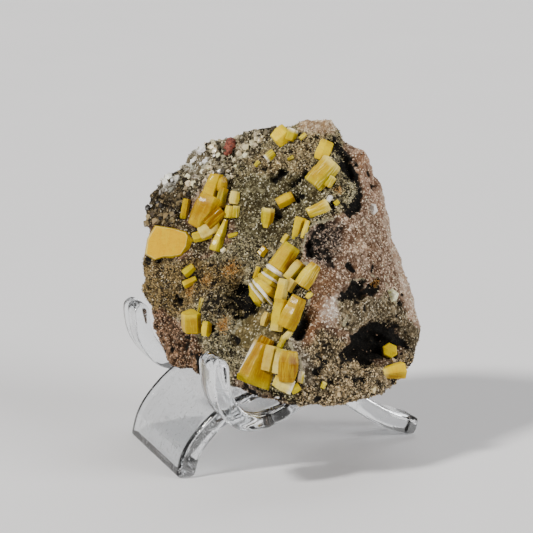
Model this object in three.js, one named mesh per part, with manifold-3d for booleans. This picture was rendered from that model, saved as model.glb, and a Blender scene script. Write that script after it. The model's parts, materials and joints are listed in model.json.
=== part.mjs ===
// A mineral specimen on its display stand: a hand-sized piece of vuggy brown
// rock, coated on its display side with a fine green-grey druse and carrying
// golden six-sided crystals, resting in a one-piece clear easel stand.
//
// The frame is in millimetres with +Z up. The two hooks of the stand point to
// -Y, its width runs along X, and the origin is on the table at the middle of
// the whole object's box.

import * as THREE from "three";
import Module from "manifold-3d";
import { ConvexGeometry } from "three/addons/geometries/ConvexGeometry.js";
import { mergeVertices } from "three/addons/utils/BufferGeometryUtils.js";

// ---- driving dimensions (mm) ----

const fitGap = 0.3; // clearance where two pieces touch
const barThickness = 3.4; // thickness of every bar of the stand
const hookWidth = 6.4;
const hookSpacing = 43; // between the middles of the two hooks
const hubHalfLength = 17.5;
const hubFront = -8.5;
const hubBack = 2.5;
const hubHeight = 14.3; // middle of the hub plate above the table
const footHalfWidthTop = 16.6;
const footHalfWidthFloor = 14.6;
const legHalfWidthTop = 8;
const legHalfWidthFloor = 3.8;
const boxShift = new THREE.Vector3(1.28, 0.545, 0); // moves the box's middle to x = y = 0

const rockDetail = 9; // splits of each edge of the ball that the rock is made from

// The display view: shapes on the display side are laid out in its units,
// counted right and down from the upper left corner of a square.
const viewUnit = 0.18;
const viewCentre = 266.5;
const viewDistance = 430;
const viewTurn = THREE.MathUtils.degToRad(70.3);
const viewRise = THREE.MathUtils.degToRad(12.6);
const viewAim = new THREE.Vector3(-2.83, -2.82, 32.5);

const toward = new THREE.Vector3(
  Math.sin(viewTurn) * Math.cos(viewRise),
  -Math.cos(viewTurn) * Math.cos(viewRise),
  Math.sin(viewRise)
);
const right = new THREE.Vector3(Math.cos(viewTurn), Math.sin(viewTurn), 0);
const up = new THREE.Vector3().crossVectors(toward, right);
const eye = viewAim.clone().addScaledVector(toward, viewDistance);

// A point in the display view: right and down in view units, and how far it
// stands out of the view's plane, in mm.
function spot(across, down, out) {
  const shrink = 1 - out / viewDistance;
  return viewAim
    .clone()
    .addScaledVector(toward, out)
    .addScaledVector(right, (across - viewCentre) * viewUnit * shrink)
    .addScaledVector(up, (viewCentre - down) * viewUnit * shrink);
}

// ---- rock outline: [right, down, out] ----

const rimPoints = [
  [143, 217, -9], [147, 202, -9], [161, 187, -9], [189, 161, -8], [203, 143, -8],
  [228, 138, -6], [248, 131, -4], [272, 127, -1], [309, 121, 2], [326, 117, 4],
  [334, 118, 5], [365, 150, 3], [371, 164, 1], [381, 180, 0], [402, 263, -3],
  [413, 294, -3], [421, 328, -2], [418, 341, -1], [411, 367, 2], [405, 381, 5],
  [389, 389, 12], [374, 400, 16.5], [350, 403, 20.5], [304, 409, 24], [280, 409, 24.5],
  [259, 401, 20], [241, 397, 16.5], [202, 377, 5], [174, 367, -3], [163, 351, -6],
  [153, 320, -7], [143, 291, -9],
];

const ridgePoints = [
  [335, 141, 8], [356, 187, 9.5], [348, 213, 11.5], [318, 230, 14], [308, 250, 15],
  [312, 275, 16], [310, 291, 17], [306, 317, 18.5], [298, 340, 20], [301, 365, 21.5],
];

const facePoints = [
  [200, 200, -1.5], [250, 200, 3.5], [300, 190, 7.5], [200, 250, 1], [250, 250, 7.5],
  [195, 300, 0.5], [250, 300, 9.5], [230, 350, 8.5], [365, 230, 8.5], [372, 280, 8.5],
  [360, 330, 13], [392, 330, 7], [360, 370, 15.5], [375, 200, 4.5],
];

const backPoints = [
  [160, 215, -18], [156, 280, -18], [170, 346, -14], [190, 348, -16], [215, 163, -17],
  [270, 150, -14], [326, 138, -7], [360, 172, -9], [380, 235, -13], [402, 318, -13],
  [397, 350, -9], [250, 220, -22], [250, 300, -22], [330, 220, -19], [340, 310, -18],
  [200, 270, -22], [350, 358, -10], [290, 355, -13], [230, 352, -14],
];

const rockMiddle = [275, 262, -3];

// Gentle lumps of the broken rock: [x, y, z wave numbers, phase, height].
const lumps = [
  [0.37, 0.11, 0.05, 0.4, 0.32],
  [-0.12, 0.41, 0.22, 1.9, 0.3],
  [0.2, -0.25, 0.52, 3.1, 0.26],
  [0.61, 0.35, -0.4, 5.2, 0.18],
  [-0.55, 0.62, 0.48, 0.9, 0.14],
  [0.15, 0.7, -0.85, 2.6, 0.12],
];

// Hollows of the rock: a run of display-view points, its radius and depth in mm.
// A negative depth is a mound.
const hollows = [
  { run: [[243, 303]], radius: 3.1, depth: 4.2 }, // round vug in the druse
  { run: [[213, 303]], radius: 3.2, depth: -0.9 }, // dark mound beside it
  { run: [[338, 146], [345, 160], [348, 174], [355, 187]], radius: 1.9, depth: 3.2 },
  { run: [[356, 196], [349, 212]], radius: 1.6, depth: 2.2 },
  { run: [[306, 321], [298, 335]], radius: 1.5, depth: 1.8 },
  { run: [[346, 290], [373, 287]], radius: 2.1, depth: 2.8 }, // upper vug of the broken side
  { run: [[374, 346], [400, 340]], radius: 3.9, depth: 6 }, // large vug of the broken side
  { run: [[196, 358], [201, 371]], radius: 1.8, depth: 2.2 },
  { run: [[147, 258]], radius: 2.2, depth: 1.2 },
  { run: [[349, 144]], radius: 3.2, depth: 1.5 },
  { run: [[411, 352]], radius: 2.2, depth: 1.2 },
];

// ---- crystals ----
// Each prism runs between the middles of its two ends, in the display view.
// wide: width in mm; deep: depth over width; lift: how far its middle stands
// out of the rock; rise: how much further out its second end is; ends: the
// scale of its two ends; roll: turn about its own axis in degrees.

const crystals = {
  far_left_plate: {
    color: 0xd9a836,
    outline: [
      [159, 224], [175, 229], [190, 235], [193, 243], [185, 255], [158, 259], [145, 252], [148, 232],
    ],
    thick: 2.2,
    lift: 2.1,
    tilt: 0.55, // its right side stands further out
  },
  left_cluster: {
    color: 0xd3a11c,
    prisms: [
      { from: [197, 226], to: [213, 197], wide: 5.6, lift: 1.3, roll: 20, ends: [0.75, 0.9] },
      { from: [205, 204], to: [216.5, 176], wide: 3.4, lift: 1.5, roll: 10, ends: [1, 0.6] },
      { from: [220, 206], to: [224, 187], wide: 2.2, lift: 0.6, roll: 30 },
      { from: [204, 228], to: [222, 216], wide: 2.8, lift: 0.9, roll: 40 },
      { from: [195, 238], to: [210, 230], wide: 2.2, lift: 1.5, roll: 12 },
    ],
  },
  left_strip: {
    color: 0xd0a832,
    prisms: [{ from: [183.5, 219], to: [186, 200], wide: 1.4, lift: 0.7, roll: 5 }],
  },
  left_spike: {
    color: 0xcfa91c,
    prisms: [{ from: [216, 251], to: [226, 221], wide: 2.9, lift: 0.8, roll: 25, ends: [0.9, 0.3] }],
  },
  left_pale_prism: {
    color: 0xddd690,
    prisms: [{ from: [233.5, 203.5], to: [235, 192], wide: 1.7, lift: 0.5, roll: 10 }],
  },
  left_pale_pair: {
    color: 0xd9cf7a,
    prisms: [
      { from: [228, 218], to: [230, 206], wide: 1.7, lift: 0.6, roll: 30 },
      { from: [235.5, 218], to: [236.5, 206], wide: 1.4, lift: 0.4, roll: 15 },
    ],
  },
  left_lens: {
    color: 0xc9b640,
    prisms: [{ from: [229, 236], to: [237, 234], wide: 0.9, lift: 0.35, roll: 0 }],
  },
  left_bead: {
    color: 0xe9e6c8,
    prisms: [{ from: [224.5, 254], to: [229, 250.5], wide: 0.9, lift: 0.3, roll: 20 }],
  },
  top_block: {
    color: 0xe3bd22,
    prisms: [{ from: [278, 139.5], to: [291, 132], wide: 3, lift: 0.7, roll: 25 }],
  },
  top_sliver: {
    color: 0xd8c060,
    prisms: [{ from: [300.5, 139], to: [306, 134.5], wide: 0.9, lift: 0.35, roll: 0 }],
  },
  upper_small_box: {
    color: 0xdcd24a,
    prisms: [{ from: [267, 158], to: [274, 152.5], wide: 1.7, lift: 0.4, roll: 20 }],
  },
  upper_bead: {
    color: 0xd8d24f,
    prisms: [{ from: [255, 166], to: [259.5, 161.5], wide: 0.9, lift: 0.35, roll: 10 }],
  },
  upper_pale_bead: {
    color: 0xb9b46a,
    prisms: [{ from: [287.5, 159.5], to: [293.5, 157], wide: 0.9, lift: 0.35, roll: 10 }],
  },
  upper_barrel: {
    color: 0xd8cf70,
    prisms: [{ from: [312, 185.5], to: [334.5, 161], wide: 3.9, lift: 0.9, roll: 18, ends: [0.95, 0.85] }],
  },
  upper_block: {
    color: 0xdcb52c,
    prisms: [{ from: [321, 159], to: [328, 142], wide: 2.4, lift: 0.4, roll: 35 }],
  },
  middle_box: {
    color: 0xdcae20,
    prisms: [{ from: [278, 203.5], to: [293, 196], wide: 2.2, lift: 0.6, roll: 20 }],
  },
  middle_taper: {
    color: 0xd8b42c,
    prisms: [{ from: [266.5, 227.5], to: [268, 208.5], wide: 2.2, lift: 0.6, roll: 10, ends: [0.4, 0.95] }],
  },
  striated_chunk: {
    color: 0xd3c24e,
    prisms: [{ from: [309.5, 213], to: [327, 204.5], wide: 2.8, lift: 0.6, roll: 30, ends: [0.8, 0.95] }],
  },
  tiny_yellow_bead: {
    color: 0xd6c33c,
    prisms: [{ from: [334.5, 204.5], to: [338.5, 201], wide: 0.9, lift: 0.35, roll: 0 }],
  },
  long_blade: {
    color: 0xd9bd38,
    prisms: [{ from: [295, 240], to: [301, 217.5], wide: 1.5, lift: 0.4, roll: 15, ends: [0.7, 1] }],
  },
  short_blade: {
    color: 0xdfca5c,
    prisms: [{ from: [303, 237], to: [308, 221], wide: 0.9, lift: 0.2, roll: 30, ends: [0.8, 0.8] }],
  },
  pale_stub: {
    color: 0xd9d28a,
    prisms: [{ from: [283, 242.5], to: [288, 235], wide: 1.2, lift: 0.3, roll: 20 }],
  },
  middle_barrel: {
    color: 0xd8b62c,
    prisms: [{ from: [260.5, 254.5], to: [265.5, 248.5], wide: 1.7, lift: 0.4, roll: 30 }],
  },
  central_stack: {
    color: 0xdfb72a,
    prisms: [
      { from: [276, 271], to: [291.5, 247.5], wide: 3.3, lift: 1.5, roll: 22 },
      { from: [267, 286], to: [279, 267], wide: 3.5, lift: 1.9, roll: 22 },
      { from: [258, 301], to: [271, 279], wide: 3.5, lift: 2.2, roll: 22 },
    ],
  },
  central_corner: {
    color: 0xd8b932,
    prisms: [{ from: [255, 279], to: [258.5, 268], wide: 1, lift: 0.4, roll: 0 }],
  },
  central_twins: {
    color: 0xe0b42a,
    prisms: [
      { from: [286.5, 279], to: [301, 262.5], wide: 1.9, lift: 1.1, roll: 10 },
      { from: [287, 290], to: [293.5, 281], wide: 1.7, lift: 1.4, roll: 15 },
      { from: [279, 309], to: [285, 279], wide: 2.1, lift: 1.7, roll: 20 },
      { from: [276, 330], to: [282, 297], wide: 2.4, lift: 1.5, roll: 20 },
      { from: [286.5, 326], to: [300, 298], wide: 3.3, lift: 1.2, roll: 28, ends: [0.9, 0.75] },
    ],
  },
  ridge_barrel: {
    color: 0xe2c040,
    prisms: [{ from: [301, 285], to: [317.5, 267.5], wide: 2.8, lift: 0.9, roll: 25, ends: [0.9, 0.7] }],
  },
  central_companion: {
    color: 0xdcc04a,
    prisms: [{ from: [264, 325.5], to: [267.5, 313], wide: 1.8, lift: 0.5, roll: 30 }],
  },
  ridge_crumb: {
    color: 0xd8cf70,
    prisms: [{ from: [306.5, 298], to: [311.5, 292.5], wide: 0.9, lift: 0.3, roll: 10 }],
  },
  lower_cluster: {
    color: 0xdba514,
    prisms: [
      { from: [256, 385], to: [275, 350], wide: 6.6, deep: 0.5, lift: 1.5, roll: 0, ends: [1, 0.9] },
      { from: [267, 370], to: [273, 346], wide: 2.6, lift: 2, roll: 15 },
      { from: [276, 374], to: [281, 352], wide: 2.4, lift: 2, roll: 25 },
      { from: [288, 381], to: [291.5, 351], wide: 3, lift: 1.5, roll: 30, ends: [0.85, 0.8] },
      { from: [277, 382], to: [293, 387], wide: 2.6, lift: 1.4, roll: 10, ends: [0.7, 0.9] },
      { from: [292, 390.5], to: [299, 386.5], wide: 1.5, lift: 1.2, roll: 20 },
    ],
  },
  lower_thin_prism: {
    color: 0xd6cc74,
    prisms: [{ from: [279.5, 347], to: [284, 336.5], wide: 1.1, lift: 0.4, roll: 20 }],
  },
  lower_pale_box: {
    color: 0xddd592,
    prisms: [{ from: [289.5, 337], to: [294, 332], wide: 1, lift: 0.2, roll: 20 }],
  },
  lower_white_prism: {
    color: 0xe6e2c0,
    prisms: [{ from: [299.5, 382], to: [302, 372], wide: 1.2, lift: 0.4, roll: 20 }],
  },
  lower_bead: {
    color: 0xc9bd58,
    prisms: [{ from: [322, 388], to: [325, 382.5], wide: 1, lift: 0.3, roll: 10 }],
  },
  left_upper_prism: {
    color: 0xcdb030,
    prisms: [{ from: [184.5, 274], to: [194, 267], wide: 1.9, lift: 0.5, roll: 20 }],
  },
  left_lower_prism: {
    color: 0xcdb030,
    prisms: [{ from: [184, 284.5], to: [196, 279.5], wide: 1.5, lift: 0.5, roll: 20 }],
  },
  left_box: {
    color: 0xdcb430,
    prisms: [{ from: [193, 328], to: [192, 313], wide: 3.1, lift: 0.9, rise: 1, roll: 12 }],
  },
  left_round: {
    color: 0xd6b42a,
    prisms: [{ from: [205.5, 335], to: [207, 323], wide: 1.8, lift: 0.6, roll: 25, ends: [0.7, 0.8] }],
  },
  green_sliver: {
    color: 0xa9a65a,
    prisms: [{ from: [200, 311], to: [202.5, 299], wide: 1.1, lift: 0.3, roll: 10, ends: [0.6, 0.9] }],
  },
  vug_upper_crystal: {
    color: 0xd3a622,
    prisms: [{ from: [389, 352], to: [390.5, 349], wide: 2.5, lift: 0.5, rise: 2.4, roll: 0 }],
  },
  vug_lower_crystal: {
    color: 0xdfbb30,
    prisms: [{ from: [389, 373], to: [402, 369], wide: 2.7, lift: 0.5, roll: 20, ends: [0.5, 1] }],
  },
};

// Rounded lumps: middle in the display view, half sizes in mm, lift out of the rock.
const nodules = {
  quartz_knob: { color: 0xe8e6e0, at: [330, 198.5], half: [0.7, 0.6, 0.6], lift: 0.2 },
  quartz_chip_upper: { color: 0xe6e0da, at: [372.5, 209], half: [1.5, 1, 0.8], lift: 0 },
  quartz_chip_lower: { color: 0xdedcb8, at: [393, 295], half: [1.5, 1.2, 0.8], lift: 0 },
  red_nodule: { color: 0x7d3426, at: [230, 149.5], half: [0.9, 1.7, 0.9], lift: 0.1 },
};

// ---- solids ----

const wasm = await Module();
wasm.setup();

function makeSolid(geometry) {
  const bare = geometry.clone();
  bare.deleteAttribute("normal");
  bare.deleteAttribute("uv");
  const merged = mergeVertices(bare, 1e-4);
  const triVerts = new Uint32Array(merged.index.array);
  if (signedVolume(merged) < 0) {
    triVerts.reverse();
  }
  const vertProperties = new Float32Array(merged.attributes.position.array);
  return new wasm.Manifold(new wasm.Mesh({ numProp: 3, vertProperties, triVerts }));
}

// Negative where the faces point inwards.
function signedVolume(geometry) {
  const places = geometry.attributes.position;
  const corner = (index) => new THREE.Vector3().fromBufferAttribute(places, geometry.index.getX(index));
  let volume = 0;
  for (let index = 0; index < geometry.index.count; index += 3) {
    volume += corner(index).dot(corner(index + 1).cross(corner(index + 2))) / 6;
  }
  return volume;
}

function makeGeometry(solid) {
  const mesh = solid.getMesh();
  const geometry = new THREE.BufferGeometry();
  geometry.setAttribute("position", new THREE.BufferAttribute(mesh.vertProperties, 3));
  geometry.setIndex(new THREE.BufferAttribute(mesh.triVerts, 1));
  geometry.translate(boxShift.x, boxShift.y, boxShift.z);
  geometry.computeVertexNormals();
  return geometry;
}

// A closed skin over a stack of rings that all have the same number of points.
function skinRings(rings) {
  const count = rings[0].length;
  const positions = rings.flat().flatMap((point) => [point.x, point.y, point.z]);
  const triangles = [];
  for (let ring = 0; ring + 1 < rings.length; ring += 1) {
    for (let side = 0; side < count; side += 1) {
      const next = (side + 1) % count;
      const a = ring * count + side;
      const b = ring * count + next;
      const c = a + count;
      const d = b + count;
      triangles.push(a, b, d, a, d, c);
    }
  }
  const last = (rings.length - 1) * count;
  for (let side = 1; side + 1 < count; side += 1) {
    triangles.push(0, side + 1, side);
    triangles.push(last, last + side, last + side + 1);
  }
  const geometry = new THREE.BufferGeometry();
  geometry.setAttribute("position", new THREE.Float32BufferAttribute(positions, 3));
  geometry.setIndex(triangles);
  return geometry;
}

// ---- display stand ----

// A bar that follows a path of [x, y, z] points, with a half width at each end
// and bevelled long edges. grow makes the larger copy that cuts its seat.
function makeBar(path, halfStart, halfEnd, grow) {
  const curve = new THREE.CatmullRomCurve3(path.map((place) => new THREE.Vector3(...place)));
  const steps = path.length * 2;
  const bevel = 0.7;
  const half = barThickness / 2 + grow;
  const rings = [];
  for (let step = 0; step <= steps; step += 1) {
    const part = step / steps;
    const middle = curve.getPoint(part);
    const along = curve.getTangent(part);
    const across = new THREE.Vector3(-along.y, along.x, 0).normalize();
    const upward = new THREE.Vector3().crossVectors(along, across).normalize();
    const reach = step === 0 ? -grow : step === steps ? grow : 0;
    middle.addScaledVector(along, reach);
    const width = halfEnd + (halfStart - halfEnd) * (1 - part) ** 2 + grow;
    const section = [
      [-width + bevel, -half], [width - bevel, -half], [width, -half + bevel], [width, half - bevel],
      [width - bevel, half], [-width + bevel, half], [-width, half - bevel], [-width, -half + bevel],
    ];
    rings.push(section.map(([side, offset]) => {
      return middle.clone().addScaledVector(across, side).addScaledVector(upward, offset);
    }));
  }
  return makeSolid(skinRings(rings));
}

// Side profiles, [y, z]; the hook's third number is how far it stands in
// towards the middle of the stand.
const hookProfile = [
  [-3.5, 14.3, 6], [-7.5, 14.1, 2.8], [-11, 13.1, 0.7], [-14.4, 12.2, 0],
  [-17.2, 12.7, 0], [-19.3, 14.7, 0], [-20.5, 17.6, 0], [-20.9, 22.9, 0],
];
const footProfile = [
  [-5, 14.1], [-9, 13.7], [-12.8, 12.6], [-16.6, 10.8], [-20, 7.8], [-22.6, 4.1], [-23.9, -0.6],
];
const legProfile = [[-1, 14.3], [3, 13.5], [7, 11.2], [11, 8.5], [15.3, 5.5], [19.4, 3.1], [23.8, 1.4]];

function makeStand(grow) {
  const middle = (hubFront + hubBack) / 2;
  const hubHalf = hubBack - middle;
  const hubSection = [
    [-hubHalf + 0.8, -1], [hubHalf - 0.8, -1], [hubHalf, -0.5], [hubHalf, 0.5],
    [hubHalf - 0.8, 1], [-hubHalf + 0.8, 1], [-hubHalf, 0.5], [-hubHalf, -0.5],
  ];
  const hubRing = (x) => hubSection.map(([y, z]) => {
    const height = hubHeight + z * (barThickness / 2 + grow);
    return new THREE.Vector3(x, middle + y + Math.sign(y) * grow, height);
  });
  const hubRings = [hubRing(-hubHalfLength - grow), hubRing(hubHalfLength + grow)];
  let stand = makeSolid(skinRings(hubRings));
  for (const side of [-1, 1]) {
    const path = hookProfile.map(([y, z, inset]) => [side * (hookSpacing / 2 - inset), y, z]);
    stand = stand.add(makeBar(path, hookWidth / 2, hookWidth / 2, grow));
  }
  const footPath = footProfile.map(([y, z]) => [0, y, z]);
  const legPath = legProfile.map(([y, z]) => [0, y, z]);
  stand = stand.add(makeBar(footPath, footHalfWidthTop, footHalfWidthFloor, grow));
  stand = stand.add(makeBar(legPath, legHalfWidthTop, legHalfWidthFloor, grow));
  // the foot and the leg end in flat soles on the table
  const underTable = new THREE.BoxGeometry(100, 100, 10).translate(0, 0, -5);
  return stand.subtract(makeSolid(underTable));
}

// ---- rock ----

function castOn(mesh, across, down) {
  const way = spot(across, down, 0).sub(eye).normalize();
  const caster = new THREE.Raycaster(eye, way);
  const hit = caster.intersectObject(mesh)[0];
  return { point: hit.point, inward: hit.face.normal.clone().negate() };
}

function distanceToRun(point, run) {
  let nearest = point.distanceTo(run[0]);
  const closest = new THREE.Vector3();
  for (let index = 0; index + 1 < run.length; index += 1) {
    const line = new THREE.Line3(run[index], run[index + 1]);
    line.closestPointToPoint(point, true, closest);
    nearest = Math.min(nearest, closest.distanceTo(point));
  }
  return nearest;
}

function makeRockMesh() {
  const corners = [...rimPoints, ...ridgePoints, ...facePoints, ...backPoints];
  const hull = new ConvexGeometry(corners.map((place) => spot(...place)));
  const shell = new THREE.Mesh(hull);
  const dents = hollows.map((hollow) => {
    const hits = hollow.run.map(([across, down]) => castOn(shell, across, down));
    const inward = hits.reduce((sum, hit) => sum.add(hit.inward), new THREE.Vector3()).normalize();
    return { ...hollow, inward, run: hits.map((hit) => hit.point) };
  });
  shell.material.side = THREE.DoubleSide;
  const middle = spot(...rockMiddle);
  const ball = new THREE.IcosahedronGeometry(1, rockDetail);
  ball.deleteAttribute("normal");
  ball.deleteAttribute("uv");
  const geometry = mergeVertices(ball, 1e-4);
  const places = geometry.attributes.position;
  for (let index = 0; index < places.count; index += 1) {
    const outward = new THREE.Vector3().fromBufferAttribute(places, index).normalize();
    const caster = new THREE.Raycaster(middle, outward);
    const point = caster.intersectObject(shell)[0].point;
    const place = point.clone();
    for (const [kx, ky, kz, phase, height] of lumps) {
      const wave = Math.sin(point.x * kx + point.y * ky + point.z * kz + phase);
      place.addScaledVector(outward, (wave - 0.3) * height);
    }
    for (const dent of dents) {
      const near = distanceToRun(point, dent.run) / dent.radius;
      if (near < 1) {
        const fall = (1 - near * near) ** 1.5;
        place.addScaledVector(dent.inward, dent.depth * fall);
      }
    }
    places.setXYZ(index, place.x, place.y, place.z);
  }
  return new THREE.Mesh(geometry);
}

// ---- crystals and nodules ----

// A six-sided prism with slightly bevelled ends and a faint barrel shape.
function makePrism(prism, rockMesh, grow) {
  const { from, to, wide, lift } = prism;
  const { deep = 1, rise = 0, roll = 0, ends = [0.94, 0.94] } = prism;
  const middleAcross = (from[0] + to[0]) / 2;
  const middleDown = (from[1] + to[1]) / 2;
  const surface = castOn(rockMesh, middleAcross, middleDown).point;
  const out = surface.sub(viewAim).dot(toward) + lift;
  const start = spot(from[0], from[1], out - rise / 2);
  const finish = spot(to[0], to[1], out + rise / 2);
  const axis = finish.clone().sub(start);
  const length = axis.length();
  axis.normalize();
  const sideways = new THREE.Vector3().crossVectors(axis, toward).normalize();
  const depthways = new THREE.Vector3().crossVectors(sideways, axis);
  const turn = THREE.MathUtils.degToRad(roll);
  const bevel = Math.min(0.12 * length, 0.3);
  const smallStations = [[-grow, ends[0]], [length + grow, ends[1]]];
  const largeStations = [
    [-grow, ends[0] * 0.88], [bevel, ends[0]], [length - bevel, ends[1]], [length + grow, ends[1] * 0.88],
  ];
  const stations = wide < 1.3 || grow > 0 ? smallStations : largeStations;
  const rings = stations.map(([along, scale]) => {
    const ring = [];
    for (let corner = 0; corner < 6; corner += 1) {
      const angle = turn + (corner * Math.PI) / 3;
      const radius = (wide / 2) * scale;
      const spare = grow * 1.16; // keeps the full gap at the flats between corners
      ring.push(
        start
          .clone()
          .addScaledVector(axis, along)
          .addScaledVector(sideways, Math.cos(angle) * (radius + spare))
          .addScaledVector(depthways, Math.sin(angle) * (radius * deep + spare))
      );
    }
    return ring;
  });
  return makeSolid(skinRings(rings));
}

// A flat crystal with a many-cornered outline, bevelled towards the viewer.
function makePlate(plate, rockMesh, grow) {
  const count = plate.outline.length;
  const middleAcross = plate.outline.reduce((sum, corner) => sum + corner[0], 0) / count;
  const middleDown = plate.outline.reduce((sum, corner) => sum + corner[1], 0) / count;
  const surface = castOn(rockMesh, middleAcross, middleDown).point;
  const out = surface.sub(viewAim).dot(toward) + plate.lift;
  const growUnits = (1.5 * grow) / viewUnit;
  const ringAt = (depth, shrink) => plate.outline.map(([across, down]) => {
    const sideAcross = across - middleAcross;
    const sideDown = down - middleDown;
    const scale = shrink + growUnits / Math.hypot(sideAcross, sideDown);
    const lean = plate.tilt * sideAcross * scale * viewUnit;
    return spot(middleAcross + sideAcross * scale, middleDown + sideDown * scale, out + lean + depth);
  });
  const rings = [ringAt(grow, 0.9), ringAt(-0.5, 1), ringAt(-plate.thick - grow, 1)];
  return makeSolid(skinRings(rings));
}

function makeNodule(nodule, rockMesh, grow) {
  const { at, half, lift } = nodule;
  const surface = castOn(rockMesh, at[0], at[1]).point;
  const out = surface.sub(viewAim).dot(toward) + lift;
  const middle = spot(at[0], at[1], out);
  const ball = new THREE.IcosahedronGeometry(1, 1);
  const place = new THREE.Matrix4().makeBasis(
    right.clone().multiplyScalar(half[0] + grow),
    up.clone().multiplyScalar(half[1] + grow),
    toward.clone().multiplyScalar(half[2] + grow)
  );
  ball.applyMatrix4(place.setPosition(middle));
  return makeSolid(ball);
}

function makeCrystal(crystal, rockMesh, grow) {
  if (crystal.outline) {
    return makePlate(crystal, rockMesh, grow);
  }
  if (crystal.at) {
    return makeNodule(crystal, rockMesh, grow);
  }
  return crystal.prisms
    .map((prism) => makePrism(prism, rockMesh, grow))
    .reduce((joined, solid) => joined.add(solid));
}

// ---- assembly ----

const specimen = new THREE.Group();

function addPiece(name, solid, color, roughness) {
  const material = new THREE.MeshStandardMaterial({ color, roughness, metalness: 0 });
  const mesh = new THREE.Mesh(makeGeometry(solid), material);
  mesh.name = name;
  specimen.add(mesh);
}

const rockMesh = makeRockMesh();
let rock = makeSolid(rockMesh.geometry).subtract(makeStand(fitGap));
for (const [name, crystal] of Object.entries({ ...crystals, ...nodules })) {
  const solid = makeCrystal(crystal, rockMesh, 0);
  addPiece(name, solid, crystal.color, crystal.at ? 0.6 : 0.35);
  rock = rock.subtract(makeCrystal(crystal, rockMesh, fitGap));
}
// crumbs that the seats cut free are dropped
const largest = rock.decompose().reduce((best, part) => (part.volume() > best.volume() ? part : best));
addPiece("matrix_rock", largest, 0x5a4636, 0.9);
addPiece("display_stand", makeStand(0), 0xdfe8ee, 0.08);

export default specimen;
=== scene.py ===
import itertools
import json
import math

import bmesh
import bpy
import numpy as np
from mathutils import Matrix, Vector
from mathutils.bvhtree import BVHTree


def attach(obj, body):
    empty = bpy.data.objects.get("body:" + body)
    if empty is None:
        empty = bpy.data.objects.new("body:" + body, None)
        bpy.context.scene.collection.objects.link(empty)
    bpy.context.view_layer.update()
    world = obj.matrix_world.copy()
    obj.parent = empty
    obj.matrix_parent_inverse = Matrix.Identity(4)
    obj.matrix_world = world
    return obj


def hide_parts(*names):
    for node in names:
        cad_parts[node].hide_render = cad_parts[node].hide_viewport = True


# A rock with golden six-sided crystals, resting on a clear display stand.
# Shapes are worked out in millimetres and turned into metres when a mesh is made.

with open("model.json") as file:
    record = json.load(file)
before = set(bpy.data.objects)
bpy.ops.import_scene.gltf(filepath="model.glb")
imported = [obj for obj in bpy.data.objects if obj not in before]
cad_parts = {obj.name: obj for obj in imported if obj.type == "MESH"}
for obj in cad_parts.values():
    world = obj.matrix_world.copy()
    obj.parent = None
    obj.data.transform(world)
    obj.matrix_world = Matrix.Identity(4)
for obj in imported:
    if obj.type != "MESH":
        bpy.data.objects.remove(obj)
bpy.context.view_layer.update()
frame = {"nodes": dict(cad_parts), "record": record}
print("frame loaded:", len(frame["nodes"]), "nodes")

# The display view: shapes on the display side are laid out in its units,
# counted right and down from the upper left corner of a square.
display = {
    "unit": 0.18,
    "centre": 266.5,
    "distance": 430,
    "turn": math.radians(70.3),
    "rise": math.radians(12.6),
    "aim": (-2.83, -2.82, 32.5),
    "boxShift": (1.28, 0.545, 0),
}
toward = np.array([
    math.sin(display["turn"]) * math.cos(display["rise"]),
    -math.cos(display["turn"]) * math.cos(display["rise"]),
    math.sin(display["rise"]),
])
right = np.array([math.cos(display["turn"]), math.sin(display["turn"]), 0])
up = np.cross(toward, right)
aim = np.array(display["aim"]) + np.array(display["boxShift"])
eye = aim + toward * display["distance"]


def spot(across, down, out):  # display view to millimetres
    shrink = 1 - out / display["distance"]
    sideways = right * (across - display["centre"]) * display["unit"] * shrink
    upward = up * (display["centre"] - down) * display["unit"] * shrink
    return aim + toward * out + sideways + upward


def toDisplay(points):  # millimetres to across, down and out
    offset = points - aim
    out = offset @ toward
    scale = display["unit"] * (1 - out / display["distance"])
    across = offset @ right / scale + display["centre"]
    down = display["centre"] - offset @ up / scale
    return across, down, out


def unit(vectors):
    return vectors / np.maximum(np.linalg.norm(vectors, axis=-1, keepdims=True), 1e-9)


def ease(value, low, high):  # 0 below low, 1 above high, smooth between
    part = np.clip((value - low) / (high - low), 0, 1)
    return part * part * (3 - 2 * part)


# Noise

def cellRandom(cells, seed):  # a number from 0 to 1 for each whole-number cell
    cells = cells.astype(np.int64)
    mixed = cells[..., 0] * 73856093 ^ cells[..., 1] * 19349663 ^ cells[..., 2] * 83492791
    mixed = mixed ^ (seed * 40503 + 977)
    mixed = (mixed ^ (mixed >> 13)) * 1274126177
    mixed = mixed ^ (mixed >> 16)
    return (mixed & 0xFFFFFF) / 0xFFFFFF


def softNoise(points, size, seed):  # -1 to 1, with lumps about size mm across
    turned = points @ np.array([[0.8, 0.36, -0.48], [-0.6, 0.48, -0.64], [0, 0.8, 0.6]])
    scaled = turned / size + seed * 7.13
    base = np.floor(scaled)
    part = scaled - base
    part = part * part * (3 - 2 * part)
    total = np.zeros(len(points))
    for corner in itertools.product((0, 1), repeat=3):
        weight = np.prod(np.where(corner, part, 1 - part), axis=1)
        total += weight * cellRandom(base + corner, seed)
    return total * 2 - 1


def grainNoise(points, size, seed):  # distance to the nearest grain, to the next one, grain's random
    scaled = points / size + seed * 3.7
    base = np.floor(scaled)
    first = np.full(len(points), 9.0)
    second = np.full(len(points), 9.0)
    own = np.zeros(len(points))
    for step in itertools.product((-1, 0, 1), repeat=3):
        cell = base + step
        middle = np.stack([cellRandom(cell, seed + k) for k in range(3)], axis=1)
        distance = np.linalg.norm(cell + middle - scaled, axis=1)
        nearer = distance < first
        second = np.where(nearer, first, np.minimum(second, distance))
        own = np.where(nearer, cellRandom(cell, seed + 5), own)
        first = np.where(nearer, distance, first)
    return first, second, own


# Meshes

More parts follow.
